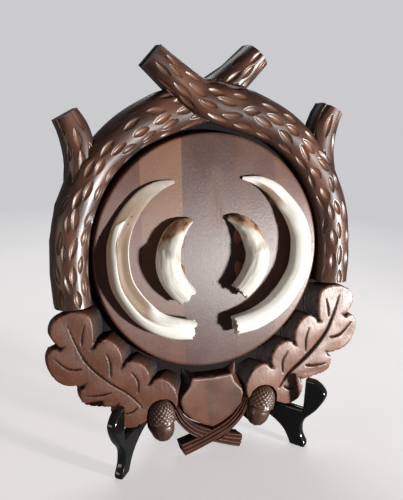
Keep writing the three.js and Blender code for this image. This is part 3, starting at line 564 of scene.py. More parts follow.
def tusk_finish(name, small, ivory, cream, line, line_share, relief):
    """Ivory with growth lines drawn along it, stained in its hollow, on its facet and in worm holes."""
    material, tree, shader = new_finish(name)
    hollow, worn, flank, pit = (mark(tree, key) for key in ("hollow", "worn", "flank", "pit"))
    drawn = put(tree, "CombineXYZ", X=mark(tree, "around"), Y=mark(tree, "along")).outputs[0]
    lines = noise_over(tree, drawn, 1.0, (6.5, 0.12, 1.0), Detail=5.0, Roughness=0.65, Distortion=0.15)
    spot = put(tree, "TexCoord").outputs["Object"]
    clouds = noise_over(tree, spot, 85.0, Detail=4.0, Roughness=0.6)
    dark = stain(70, 46, 38)
    if small:
        sandy, brown = stain(182, 150, 120), stain(140, 100, 76)
        facet = mix(tree, ramp(tree, clouds, (0.44, 0.0), (0.56, 1.0)), sandy, brown)
        facet = mix(tree, ramp(tree, clouds, (0.58, 0.0), (0.63, 1.0)), facet, dark)
    else:
        grey, fawn = stain(160, 154, 146), stain(182, 170, 154)
        facet = mix(tree, ramp(tree, clouds, (0.4, 0.0), (0.6, 1.0)), grey, fawn)
    steeped, steeped_line = stain(126, 102, 82), stain(148, 124, 102)
    stained = mix(tree, ramp(tree, lines, (0.35, 0.0), (0.65, 1.0)), steeped, steeped_line)
    drawn_lines = ramp(tree, lines, (0.54, 0.0), (0.64, 1.0))
    colour = mix(tree, ramp(tree, clouds, (0.35, 0.0), (0.7, 0.6)), stain(*ivory), stain(*cream))
    colour = mix(tree, calc(tree, "MULTIPLY", flank, 0.8), colour, stain(186, 154, 126))
    colour = mix(tree, calc(tree, "MULTIPLY", drawn_lines, line_share), colour, stain(*line))
    colour = mix(tree, calc(tree, "MULTIPLY", hollow, 0.95), colour, stained)
    colour = mix(tree, worn, colour, facet)
    colour = mix(tree, pit, colour, dark)
    lay_on(tree, shader, colour, summed(tree, 0.34, (lines, 0.2), (worn, 0.12)),
           calc(tree, "MULTIPLY", lines, summed(tree, 1.0, (hollow, -0.8))), relief, 0.0006,
           Subsurface_Weight=0.06, Subsurface_Radius=(0.003, 0.002, 0.0012), Specular_IOR_Level=0.22)
    return material


def noise_round(corners, places, across, along, shift=0):
    """Smooth noise over a tusk's skin, which closes round it."""
    turns = corners * math.pi / 6
    return np.array([[noise.noise((math.cos(t) * across, math.sin(t) * across, p * along + shift))
                      for t in turns] for p in places])


for size, tusk in tusks.items():
    small = size == "small"
    ivory = tusk_finish(f"{size}_tusk_ivory", small, *tusk["finish"])
    worn, whole, root = (smooth_ring(section, tusk_columns)[0]
                         for section in (tusk["worn"], tusk["body"], round_section))
    corner = smooth_ring(round_section, tusk_columns)[1][None, :]
    for name, side in sides.items():
        run, ahead, places, length = even_run(tusk["run"], side, spacing=0.8)
        half = half_widths(places, tusk["half"])
        height = 2 * half * tusk["rise"]
        place = places[:, None]
        hollow = facet = flank = pit = 0.0
        if small:
            # The facet slants round the tip, and the body behind it is round
            wobble = facet_wobble * np.sin(2.5 * corner + side)
            body = ease(place + wobble, *small_body)
            slanted = place + small_facet_slant * corner + wobble
            facet = (1 - ease(slanted, *small_facet_end)) * between(corner, *small_facet_sides)
        elif side < 0:
            # The outer side steps up to a crest beside a long hollow, which runs from the tip to the root
            outer = np.maximum(1 - ease(corner, *inner_side), ease(corner, *outer_side))
            crest = ease(place + crest_slant * np.clip(corner, 0, crest_corner), *crest_start)
            body = ease(place, *ridge_start) * (1 - outer) + crest * outer
            risen = ease(place, 0.27, 0.34 + 0.16 * outer + 0.1 * (1 - outer))
            height = height * (left_thickness * (left_tip + (1 - left_tip) * risen))
            edge = crest_edge + crest_travel * crest
            band = between(corner, (edge, edge + edge_softness), hollow_side)
            slanted = place + crest_slant * corner
            hollow = (1 - ease(slanted, *hollow_end)) * band
            facet = (1 - ease(slanted, *facet_end)) * band
            flank = outer * crest * (1 - ease(corner % all_round, *flank_side)) \
                * (1 - ease(place, *flank_end))
        else:
            # Round all along, with a short stained groove near the tip
            whole = root
            body = np.ones((len(places), 1))
            height = height * (right_thickness * (right_tip + (1 - right_tip) * ease(place, *right_rise)))
            hollow = between(place, *groove_ends) * between(corner, *groove_sides)
        rounded = ease(place, *tusk["root_start"])[:, :, None]
        ring = worn[None] * (1 - body)[:, :, None] + whole[None] * body[:, :, None]
        ring = ring * (1 - rounded) + root[None] * rounded
        swell = 1 + tusk["swell"] * noise_round(corner[0], places, 4, 4, side) \
            + tusk["ripple"] * noise_round(corner[0], places, 13, 7)
        across = half * ring[:, :, 0] * swell
        heights = field_face + tusk_bed + height / 2 + height * (ring[:, :, 1] - 0.5) * swell
        points, faces = swept(run, ahead, side * across, heights, side < 0)
        skin = points[:across.size].reshape(*across.shape, 3)
        jag = noise_round(corner[0], [side], 2.2, 3)[0] + 0.6 * noise_round(corner[0], [side], 7, 1)[0]
        for back in range(1, jagged_rows + 1):
            break_off = jag * root_jag * (jagged_rows + 1 - back) / jagged_rows
            skin[-back, :, :2] += ahead[-1] * break_off[:, None]
        if not small and side < 0:
            on_facet = (corner > 1) & (corner < 7)
            for hole in worm_holes:
                away = np.hypot(skin[:, :, 0] - hole[0], skin[:, :, 1] - hole[1])
                pit = np.maximum(pit, (1 - ease(away, 0.4, 1.0)) * on_facet)
        marks = {"hollow": hollow, "worn": facet, "flank": flank, "pit": pit, "along": place * length / 3,
                 "around": np.abs(corner - 6)}
        marks = {key: np.broadcast_to(value, across.shape) for key, value in marks.items()}
        add_piece(f"{size}_tusk_{name}", make_mesh(points, faces, marks), ivory,
                  f"tusk_{size}_{name}", sharp=55)


# Putty: brown filler that beds each tusk, pressed on in two lumps by its tip and its root half.
# It squeezes out round the tusk's edge and has set rough.
putty, tree, shader = new_finish("brown_putty")
lumps = noise_over(tree, put(tree, "TexCoord").outputs["Object"], 420.0, Detail=5.0)
lay_on(tree, shader, mix(tree, lumps, stain(96, 56, 40), stain(150, 98, 70)),
       summed(tree, 0.5, (lumps, 0.3)), lumps, 0.5, 0.0006)
for node in frame["nodes"]:
    if node.startswith("putty"):
        paint(node, putty)


# Branches: two limbs carved in the round on their upper side, each with a side fork, gouged all over
# with short scoops that stand for bark, stained dark and varnished. They cross above the field.
glue_gap = 0.3
branch_run = [
    [1.17, -.36], [1.185, -.02], [1.135, .36], [.965, .72], [.7, .99],
    [.4, 1.145], [.12, 1.225], [-.08, 1.3], [-.28, 1.46], [-.453, 1.617],
]
branch_half = [.148, .15, .155, .158, .157, .166, .18, .167, .135, .115]
fork_run = [[1.162, 1.172], [1.105, 1.06], [1.07, .94], [1.055, .82], [1.06, .68], [1.09, .5]]
fork_half = [.106, .12, .125, .122, .125, .1]
branch_crest, fork_crest, shoulder, lap_height = 26.0, 22.0, 13.0, 17.0
branch_rows, branch_reaches = [-0.9, -0.55, -0.1, 0.35, 0.75], (6.8, 9.6)
fork_rows, fork_reaches = [-0.75, -0.1, 0.6], (8.0, 12.0)
mean_half = 13.5
first_gouge, gouge_stagger, gouge_scatter, gouge_end = 7, 11, 3, 5
gouge_half_width, gouge_depth, gouge_gap = (2.1, 2.9), (1.3, 1.8), (3, 9)
gouge_slant, gouge_drift = 0.1, 0.9


def gouge_bark(along, around, length, mean_radius, rows, reaches, dice):
    """Rows of gouges on a limb's skin: how deep each point lies, how near a rim and how freshly cut."""
    sink, rim, cut = (np.zeros(along.shape) for _ in range(3))
    for row, share in enumerate(rows):
        at = first_gouge + gouge_stagger * (row % 2) + dice.uniform(-gouge_scatter, gouge_scatter)
        while at < length - gouge_end:
            reach = dice.uniform(*reaches)
            wide = dice.uniform(*gouge_half_width)
            slant = dice.normal(0, gouge_slant)
            centre = math.acos(share) * mean_radius + dice.normal(0, gouge_drift)
            ahead, aside = along - at, around - centre
            u = (ahead * math.cos(slant) + aside * math.sin(slant)) / reach
            v = (aside * math.cos(slant) - ahead * math.sin(slant)) / wide
            lens = np.clip(1 - u ** 2, 0, 1)
            edge = np.abs(v) / np.maximum(lens, 0.05)
            inside = (np.abs(u) < 1) & (edge < 1)
            scoop = dice.uniform(*gouge_depth) * lens ** 0.5 * (1 - edge ** 2)
            sink = np.maximum(sink, np.where(inside, scoop, 0))
            rim = np.maximum(rim, np.exp(-((edge - 1.05) / 0.15) ** 2) * (np.abs(u) < 1) * lens ** 0.3)
            cut = np.maximum(cut, np.where(inside, np.clip((0.95 - edge) * 4, 0, 1) * lens ** 0.5, 0))
            at += 2 * reach + dice.uniform(*gouge_gap)
    return sink, rim, cut


def with_walls(top, up_the_wall):
    """Values over a limb's top, with those that run up the upright wall on each side."""
    walls = np.repeat(np.array(up_the_wall, float)[None, :], len(top), axis=0)
    return np.hstack([walls, top, walls[:, ::-1]])


def bark_limb(run_shares, half_shares, crest, rows, reaches, side, seed):
    """A gouged limb: upright walls under a rounded top, uneven as grown wood is."""
    run, ahead, places, length = even_run(run_shares, side, spacing=0.6)
    half = half_widths(places, half_shares)
    arc = np.linspace(0, math.pi, 76)[None, :]
    rise = crest - shoulder
    mean_radius = (rise + mean_half) / 2
    outward = np.stack([np.cos(arc) * rise + 0 * half, np.sin(arc) * half], axis=2)
    outward /= np.linalg.norm(outward, axis=2, keepdims=True)
    along = (places * length)[:, None] + 0 * arc
    around = arc * mean_radius + 0 * half
    dice = np.random.default_rng(seed)
    sink, rim, cut = gouge_bark(along, around, length, mean_radius, rows, reaches, dice)
    flow = noise_at(along, around, 0.03, 0.09, seed)
    fine = noise_at(along, around, 0.12, 0.5, seed + 5)
    sunk = (sink - 0.55 * flow - 0.04 * fine) * np.clip(np.sin(arc) * 3, 0.25, 1)
    across = half * np.cos(arc) - outward[:, :, 0] * sunk
    heights = shoulder + rise * np.sin(arc) - outward[:, :, 1] * sunk
    wall_heights = np.linspace(carving_base, shoulder, 5)[:-1]
    left, right = (np.repeat(across[:, [i]], 4, axis=1) for i in (0, -1))
    across = np.hstack([left, across, right])
    # Painted shade: dark along the gouges' rims, where it is partly stain, and down the flanks and the
    # upright walls. Darker at random with the flow of the wood.
    low = 0.45 * rim + 0.45 * (1 - np.sin(arc)) ** 1.5 + 0.35 * np.clip(flow * 2, 0, 1)
    marks = {
        "low": with_walls(np.clip(low, 0, 1), [1, 0.95, 0.85, 0.7]),
        "wear": with_walls(np.clip(-flow * 1.6, 0, 0.5) * np.sin(arc), [0, 0, 0, 0]),
        "cut": with_walls(0.42 * cut * np.sin(arc) ** 0.5, [0, 0, 0, 0]),
    }
    return make_mesh(*swept(run, ahead, across, with_walls(heights, wall_heights)), marks)


def over_limb(points, shares, half_shares, side, margin):
    """Which points lie over a limb's strip, seen from the front."""
    run, _, places, _ = even_run(shares, side, spacing=2.0)
    half = half_widths(places, half_shares)[:, 0]
    apart = np.hypot(points[:, None, 0] - run[None, :, 0], points[:, None, 1] - run[None, :, 1])
    nearest = apart.argmin(axis=1)
    return apart[np.arange(len(points)), nearest] < half[nearest] + margin


def halve(points, crossing, side, left_top, right_bottom):
    """Cuts away the left one of two limbs above a height where they cross, the right one below one."""
    heights = np.minimum(points[:, 2], left_top) if side < 0 else np.maximum(points[:, 2], right_bottom)
    points[:, 2] = np.where(crossing, heights, points[:, 2])


def worked_mesh(piece):
    """The mesh of an object with its modifiers worked into it."""
    return bpy.data.meshes.new_from_object(piece.evaluated_get(bpy.context.evaluated_depsgraph_get()))


def combined(operation, first, second):
    """The mesh left when a second mesh is joined to a first one or cut out of it."""
    pieces = [new_object("rough", mesh) for mesh in (first, second)]
    work = pieces[0].modifiers.new("work", "BOOLEAN")
    work.operation = operation
    work.object = pieces[1]
    work.solver = "MANIFOLD"
    made = worked_mesh(pieces[0])
    for piece in pieces:
        bpy.data.objects.remove(piece)
    return made


bark = stained_wood("bark_wood", (80, 46, 34), (20, 11, 9), (124, 84, 66), 0.3, fineness=1.3, relief=0.2,
                    varnish=0.4, spread=0.0)
for name, side in sides.items():
    trunk = bark_limb(branch_run, branch_half, branch_crest, branch_rows, branch_reaches, side, 11 + side)
    fork = bark_limb(fork_run, fork_half, fork_crest, fork_rows, fork_reaches, side, 31 + side)
    limb = combined("UNION", trunk, fork)
    points = np.empty(3 * len(limb.vertices))
    limb.vertices.foreach_get("co", points)
    points = points.reshape(-1, 3) / MM
    crossing = over_limb(points, branch_run, branch_half, -side, glue_gap)
    halve(points, crossing, side, lap_height - 0.1, lap_height + glue_gap)
    limb.vertices.foreach_set("co", (points * MM).ravel())
    add_piece(f"limb_{name}", limb, bark, f"branch_{name}", sharp=50)


# Leaves: a carved oak leaf at each lower corner, with rounded lobes, a cut midrib and side veins.
# Their inner sides slope down to the ground, and each has a hollow in which an acorn lies.
leaf_lobes = [
    [[1.03, -.71], [1.025, -.55], [1.06, -.43], [1.2, -.395], [1.34, -.45], [1.38, -.57], [1.3, -.69]],
    [[1.3, -.69], [1.38, -.69], [1.415, -.78], [1.38, -.91], [1.28, -1.0], [1.13, -1.03]],
    [[1.13, -1.03], [1.165, -1.08], [1.13, -1.18], [1.0, -1.225], [.86, -1.245]],
    [[.86, -1.245], [.875, -1.34], [.82, -1.425], [.72, -1.455], [.62, -1.42], [.545, -1.38]],
    [[.545, -1.38], [.42, -1.4], [.335, -1.34], [.32, -1.22], [.38, -1.1], [.48, -1.045], [.56, -1.08]],
    [[.56, -1.08], [.57, -.98], [.63, -.895], [.73, -.86], [.79, -.895]],
    [[.79, -.895], [.8, -.78], [.85, -.69], [.94, -.645], [1.03, -.71]],
]
leaf_midrib = [[.635, -1.29], [.74, -1.16], [.93, -1.01], [1.09, -.84], [1.18, -.66], [1.235, -.5]]
leaf_veins = [
    [[1.13, -.68], [1.12, -.59], [1.1, -.52]],
    [[1.14, -.88], [1.25, -.86], [1.36, -.76]],
    [[.9, -1.115], [1.0, -1.125], [1.1, -1.12]],
    [[.68, -1.28], [.74, -1.315], [.82, -1.31]],
    [[.9, -.98], [.9, -.87], [.93, -.77]],
    [[.67, -1.15], [.67, -1.05], [.72, -.96]],
]
rib_half_widths, vein_half_widths = {-1: 0.9, 1: 2.0}, {-1: 0.85, 1: 1.15}
rib_depth, vein_depth, crease_depth, crease_width, crease_length = 1.0, 1.2, 1.2, 1.1, 5
leaf_face, leaf_level_drop, leaf_edge_round, edge_share = 18.8, 0.35, 1.3, 0.85
slope_reach, slope_foot, slope_steps, least_height = 10.0, 0.3, 26, 0.2
hollow_floor, hollow_wall = 0.4, 0.45
slope_way = np.array([0.93, 0.37]) / math.hypot(0.93, 0.37)
groove_radius, leaf_top = 103.5, -38.3
acorn_rim, acorn_axis = [0.46, -1.445], 14.5
acorn_tilts = {-1: math.radians(5), 1: math.radians(16)}
cup_radius, cup_height, nut_radius, nut_length, hollow_margin = 12.3, 19.5, 10.4, 18.5, 1.6
cup_profile = [[0, 0], [.93, 0], [1, .1], [.99, .35], [.86, .66], [.6, .87], [.3, .97], [0, 1]]
nut_profile = [
    [0, 1], [.1, .99], [.2, .955], [.55, .87], [.84, .66], [.98, .38], [.98, .15], [.92, 0], [0, 0],
]
shield_base = [
    [0, -1.075], [.15, -1.07], [.245, -1.02], [.25, -1.12], [.305, -1.22],
    [.31, -1.3], [.285, -1.395], [.195, -1.485], [.1, -1.54], [0, -1.575],
]
stem_run = [[.335, -1.35], [.27, -1.475], [.16, -1.58], [0, -1.655], [-.15, -1.71], [-.27, -1.745]]
stem_half = [.03, .042, .047, .05, .052, .055]


def within(polygon, points):
    """Which points lie inside a closed outline."""
    inside = np.zeros(len(points), bool)
    for (ax, ay), (bx, by) in zip(polygon, np.roll(polygon, -1, axis=0)):
        crosses = (ay > points[:, 1]) != (by > points[:, 1])
        with np.errstate(divide="ignore", invalid="ignore"):
            at = ax + (points[:, 1] - ay) * (bx - ax) / (by - ay)
        inside ^= crosses & (points[:, 0] < at)
    return inside


def distance(line, points, closed=False):
    """How far each point is from a line, and how far along the line that is, from 0 to 1."""
    ends = np.roll(line, -1, axis=0) if closed else line[1:]
    best, where = np.full(len(points), math.inf), np.zeros(len(points))
    for index, (a, b) in enumerate(zip(line, ends)):
        leg = b - a
        t = np.clip(((points - a) @ leg) / max(leg @ leg, 1e-12), 0, 1)
        away = np.hypot(*(points - a - t[:, None] * leg).T)
        nearer = away < best
        best[nearer] = away[nearer]
        where[nearer] = (index + t[nearer]) / len(ends)
    return best, where


def grown(polygon, margin):
    """A closed outline moved outwards by a margin."""
    ahead = np.roll(polygon, -1, axis=0) - np.roll(polygon, 1, axis=0)
    normal = np.column_stack([ahead[:, 1], -ahead[:, 0]]) / np.hypot(*ahead.T)[:, None]
    (x, y), (next_x, next_y) = polygon.T, np.roll(polygon, -1, axis=0).T
    return polygon + normal * margin * math.copysign(1, np.sum(x * next_y - y * next_x))


def both_halves(half):
    """A closed outline from its right half, which starts and ends on the middle line."""
    return np.vstack([half, (half * [-1, 1])[::-1][1:-1]])


def acorn_outline(side, margin):
    """The outline of an acorn seen from the front, grown by a margin."""
    cup = [[r * (cup_radius + margin), h * (cup_height + margin)] for r, h in cup_profile[::-1]]
    nut = [[r * (nut_radius + margin), -h * (nut_length + margin)] for r, h in nut_profile[::-1]]
    outline = both_halves(smooth_curve(np.array(cup[:-1] + nut[1:]), 4))
    tilt = -side * acorn_tilts[side]
    turned = outline @ np.array([[math.cos(tilt), math.sin(tilt)], [-math.sin(tilt), math.cos(tilt)]])
    return turned + on_plaque(acorn_rim, side)


def limb_outline(shares, half_shares, side, margin):
    """The outline of a limb's strip seen from the front, grown by a margin."""
    run, ahead, places, _ = even_run(shares, side, spacing=2.0)
    half = half_widths(places, half_shares) + margin
    normal = np.column_stack([-ahead[:, 1], ahead[:, 0]])
    return np.vstack([run + normal * half, (run - normal * half)[::-1]])


def notch_creases(side, midrib):
    """Short cuts from the notches between the lobes towards the midrib."""
    creases = []
    for lobe in leaf_lobes:
        notch = on_plaque(lobe[0], side)
        _, where = distance(midrib, notch[None])
        foot = midrib[int(round(where[0] * (len(midrib) - 1)))]
        way = (foot - notch) / np.hypot(*(foot - notch))
        creases.append(notch + way * np.linspace(-0.5, crease_length, 9)[:, None])
    return creases


def leaf_cuts(flat, side, midrib, veins, creases):
    """How deep the midrib, the veins and the notch creases are cut at each point."""
    depth = np.zeros(len(flat))
    cuts = [(midrib, rib_half_widths[side], 0.25, 0.8, rib_depth)]
    cuts += [(vein, vein_half_widths[side], 0.3, 0.6, vein_depth) for vein in veins]
    for line, widest, narrowest, swell, steepness in cuts:
        away, place = distance(line, flat)
        half = widest * (narrowest + (1 - narrowest) * np.sin(math.pi * np.clip(place, 0, 1) ** swell))
        depth = np.maximum(depth, steepness * half * np.clip(1 - away / half, 0, 1))
    for crease in creases:
        away, place = distance(crease, flat)
        spread = crease_width * (1.15 - place)
        depth = np.maximum(depth, crease_depth * (1 - place) * np.exp(-(away / spread) ** 2))
    return depth


# Both leaves are one wood. The right leaf's is painted paler as light from the lamp on the right.
leaf_woods = {
    "left": stained_wood("leaf_left_wood", (104, 62, 46), (20, 13, 11), (132, 90, 72), 0.3, relief=0.2,
                         spread=0.6, shine=0.25),
    "right": stained_wood("leaf_right_wood_painted_paler", (134, 90, 72), (20, 13, 11), (154, 118, 100), 0.3, relief=0.2,
                          spread=0.6),
}
turn = np.linspace(0, 2 * math.pi, 240, endpoint=False)
groove = np.column_stack([np.cos(turn), np.sin(turn)]) * groove_radius
shield_outline = both_halves(on_plaque(shield_base))
shield_keep = grown(shield_outline, 2 * glue_gap)
for name, side in sides.items():
    outline = np.vstack([smooth_curve(on_plaque(lobe, side), 6)[:-1] for lobe in leaf_lobes])
    reach = slope_way * slope_reach * [-side, 1]
    stem_keep = limb_outline(stem_run, stem_half, side, glue_gap)
    hollow = acorn_outline(side, hollow_margin)
    midrib = smooth_curve(on_plaque(leaf_midrib, side), 12)
    veins = [smooth_curve(on_plaque(vein, side), 10) for vein in leaf_veins]
    creases = notch_creases(side, midrib)

    def on_slope(points):
        """0 on the leaf's face, up to 1 down its slope, and 2 beyond it."""
        share = np.full(len(points), 2.0)
        for t in np.linspace(1, 0, slope_steps):
            share[within(outline, points - reach * t)] = t
        return share

    def in_leaf(points):
        """Which points lie on the leaf or on its slope beside the field, clear of shield and stem."""
        share = on_slope(points)
        beside_field = (np.hypot(*points.T) > groove_radius) & (points[:, 1] < leaf_top)
        kept = (share == 0) | ((share <= 1) & beside_field)
        return kept & ~within(shield_keep, points) & ~within(stem_keep, points)

    hollow_bottom = grown(hollow, -0.5)
    closed_lines = [outline, outline + reach, groove, shield_keep, stem_keep, hollow, hollow_bottom]
    heading = np.roll(outline, -1, axis=0) - outline
    turned_by = heading[:, 0] * reach[1] - heading[:, 1] * reach[0]
    tangents = [outline[i] for i in range(len(outline)) if turned_by[i] * turned_by[i - 1] < 0]
    ridges = [point + reach * np.linspace(0, 1, 8)[:, None] for point in tangents]
    lines = [(line, True) for line in closed_lines]
    lines += [(line, False) for line in [midrib, *veins, *creases, *ridges]]
    flat, faces = triangulate(lines, in_leaf, spacing=1.05)

    x, y = flat.T
    share = on_slope(flat)
    inner = share == 0
    to_edge, _ = distance(outline, flat, True)
    to_rib, _ = distance(midrib, flat)
    wave = noise_at(x, y, 0.055, 0.055, 3.7 * side)
    tool = noise_at(x, y, 0.5, 0.16, 9.1 + side)
    face_level = leaf_face - leaf_level_drop
    top = face_level - eased_edge(to_edge, leaf_edge_round) * edge_share \
        + 0.4 * wave * np.clip(to_edge / 5, 0, 1) + 0.07 * tool
    top += 0.35 * np.clip(to_edge / 9, 0, 1) ** 0.7 - 0.3 * np.exp(-(to_rib / 5.5) ** 2)
    cuts = leaf_cuts(flat, side, midrib, veins, creases)
    edge_level = face_level - leaf_edge_round * edge_share
    slope = edge_level + (carving_base + slope_foot - edge_level) * np.clip(share, 0, 1)
    top = np.where(inner, top - cuts, slope + 0.25 * tool)
    into, _ = distance(hollow, flat, True)
    into = np.where(within(hollow, flat), into, 0)
    top = top + (carving_base + hollow_floor - top) * np.clip(into / hollow_wall, 0, 1)
    points, faces = closed_slab(flat, faces, np.maximum(top, carving_base + least_height), carving_base)

    # The cuts are darkened by their depth, with stain and painted shade. The slopes are painted darker
    # towards their foot, and near black on the right leaf, whose slopes face away from the lamp: painted
    # shade. The rubbed line along the edge is drawn stronger on the right leaf, as painted highlight.
    slope_shade = 0.5 + 0.6 * np.clip(share, 0, 1) if side < 0 else 0.9 + 0.1 * share
    low = np.maximum(np.clip(cuts / 0.22, 0, 1) * 0.97, np.where(inner, 0, np.clip(slope_shade, 0, 1)))
    low = np.maximum(low, np.clip(into / 0.4, 0, 1))
    wear = np.where(inner, np.exp(-((to_edge - 0.7) / 0.5) ** 2), 0) * (0.25 if side < 0 else 0.4)
    wear = np.maximum(wear, np.clip(wave, 0, 1) * 0.5 * inner)
    mesh = make_mesh(points, faces, {"low": low, "wear": wear, "cut": 0 * low})
    add_piece(f"oak_leaf_{name}", mesh, leaf_woods[name], f"leaf_{name}", sharp=45)


# Shield: a blank shield between the leaves, carved from one block and stained like them. It is flat
# on top, its sides slope down to the ground, and its two ears run up to the groove round the field.
shield_top = [
    [0, -1.105], [.12, -1.1], [.18, -1.095], [.205, -1.165], [.275, -1.245],
    [.29, -1.3], [.265, -1.385], [.18, -1.47], [.09, -1.525], [0, -1.56],
]
shield_face = carving_base + 9.5
shield_edge_round = 1.3
face_outline = both_halves(on_plaque(shield_top))
flat, faces = triangulate([(shield_outline, True), (face_outline, True)],
                          lambda points: within(shield_outline, points), spacing=1.3)
x, y = flat.T
to_outside, _ = distance(shield_outline, flat, True)
to_face, _ = distance(face_outline, flat, True)
on_face = within(face_outline, flat) | (to_face < 0.01)
share = to_outside / np.maximum(to_outside + to_face, 1e-6)
face_round = 0.6 * np.clip(1 - to_face / shield_edge_round, 0, 1) ** 2
dish = 0.35 * noise_at(x, y, 0.06, 0.06, 5.0)
flank = carving_base + least_height + (shield_face - shield_edge_round - carving_base) * share
top = np.where(on_face, shield_face - face_round + dish, flank)
points, faces = closed_slab(flat, faces, top, carving_base)
# The left wall is painted dark as shade. The top wall is stained black like the ground, and the other
# walls are darker towards the ground.
top_wall = ~on_face & (y > -110) & (np.abs(x) < 17)
shaded_left_wall = ~on_face & (x < -10)
stripe = np.exp(-((x + 2) / 3.5) ** 2) * 0.3 + np.clip((x - 4) / 20, 0, 1) * 0.25
marks = {
    "low": np.where(on_face, stripe, np.where(top_wall | shaded_left_wall, 1, 0.45 - 0.2 * share)),
    "cut": np.where(on_face, 0.12 * np.clip((4 - x) / 12, 0, 1), 0),
    "wear": np.where(on_face, 0.25 * np.exp(-((to_face - 0.7) / 0.5) ** 2), 0),
}
shield_wood = stained_wood("shield_wood", (100, 62, 48), (24, 15, 13), (140, 98, 78), 0.3, relief=0.2)
add_piece("blank_shield", make_mesh(points, faces, marks), shield_wood, "shield", sharp=35)


# Stems: the leaves' stalks, cut with three grooves along them and stained like the left leaf. They
# run under the shield and cross below it, halved into each other with the right one on top.
stem_top, stem_lap = 17.0, 12.0
stem_grooves, stem_groove_depth = 3, 1.5
for name, side in sides.items():
    run, ahead, places, _ = even_run(stem_run, side, spacing=0.7)
    half = half_widths(places, stem_half)
    over = np.linspace(1, -1, 40)[None, :]
    grooves = 0.5 - 0.5 * np.cos(2 * math.pi * stem_grooves * (1 - over) / 2)
    wobble = noise_at(*np.broadcast_arrays(places[:, None], over), 6, 2.5, side)
    heights = stem_top - stem_groove_depth * grooves - 1.4 * over ** 6 + 0.35 * wobble + 0 * half
    across = np.hstack([half, half * over, -half])
    points, faces = swept(run, ahead, across, with_walls(heights, [carving_base]))
    crossing = within(limb_outline(stem_run, stem_half, -side, glue_gap), points[:, :2])
    halve(points, crossing, side, stem_lap, stem_lap + glue_gap)
    low = with_walls(0.1 + 0.88 * grooves ** 2 + 0 * half, [0.9])
    wear = with_walls(0.2 * (1 - grooves) ** 2 + 0 * half, [0])
    mesh = make_mesh(points, faces, {"low": low, "wear": wear, "cut": 0 * low})
    add_piece(f"stalk_{name}", mesh, leaf_woods["left"], f"stem_{name}", sharp=45)


# Acorns: a cup and a nut each, turned in outline and flat where they are glued down. The cup is cut
# all over with crossing V cuts, the nut is smooth, and both are stained dark and varnished glossy.
acorn_wood = stained_wood("acorn_wood", (76, 48, 38), (20, 13, 11), (150, 116, 96), 0.22, fineness=1.2,
                          relief=0.1, varnish=0.3, spread=0.0)
cup_cuts, cut_twist, cut_depth = 17, 0.66, 0.95
acorn_parts = {
    "cup": (cup_profile, cup_radius, cup_height, 1),
    "nut": (nut_profile[::-1], nut_radius, nut_length, -1),
}
for name, side in sides.items():
    for part, (profile, radius, height, way) in acorn_parts.items():
        shape = smooth_curve(profile, 14)
        legs = np.concatenate([[0], np.cumsum(np.hypot(*(np.diff(shape, axis=0) * [radius, height]).T))])
        even = np.linspace(0, legs[-1], 74)
        r = (np.clip(np.interp(even, legs, shape[:, 0]), 0, None) * radius)[:, None]
        h = np.clip(np.interp(even, legs, shape[:, 1]) * height, 0, height)[:, None]
        turn = np.linspace(0, 2 * math.pi, 128, endpoint=False)[None, :]
        if part == "cup":
            twist = even[:, None] * cut_twist
            ridge = np.minimum(np.abs(np.sin(cup_cuts * turn / 2 + twist)),
                               np.abs(np.sin(cup_cuts * turn / 2 - twist)))
            clear_of_rim = np.clip((h - 0.8) / 2.5, 0, 1)
            # Dark in the V cuts and light on the ridges between them: painted shade and painted
            # highlights.
            low = (1 - ridge) ** 2.5 * clear_of_rim * 0.95
            wear = ridge ** 3 * 0.7 * clear_of_rim
            sink = cut_depth * (1 - ridge) ** 2.5 * clear_of_rim
        else:
            # The nut is painted darker just under the cup's rim, as shade.
            low = 0.5 * np.clip(1 - h / 2.0, 0, 1) + 0 * turn
            wear = 0 * low
            sink = 0.12 * np.cos(9 * turn) * np.clip(h / 6, 0, 1)
        swell = np.clip(r - sink * np.clip(r / 3, 0, 1), 0, None)
        x, z = swell * np.cos(turn), swell * np.sin(turn)
        y = way * h - (glue_gap if way < 0 else 0) + 0 * turn
        tilt = -side * acorn_tilts[side]
        rim_x, rim_y = on_plaque(acorn_rim, side)
        points = np.stack([
            x * math.cos(tilt) - y * math.sin(tilt) + rim_x,
            x * math.sin(tilt) + y * math.cos(tilt) + rim_y,
            np.maximum(z + acorn_axis, carving_base),
        ], axis=2)
        faces = quads(*x.shape)[2]
        faces = [tuple(f) for f in (faces[:, ::-1] if way > 0 else faces).tolist()]
        mesh = make_mesh(points.reshape(-1, 3), faces, {"low": low, "wear": wear, "cut": 0 * low})
        add_piece(f"carved_{part}_{name}", mesh, acorn_wood, f"acorn_{part}_{name}", sharp=60)


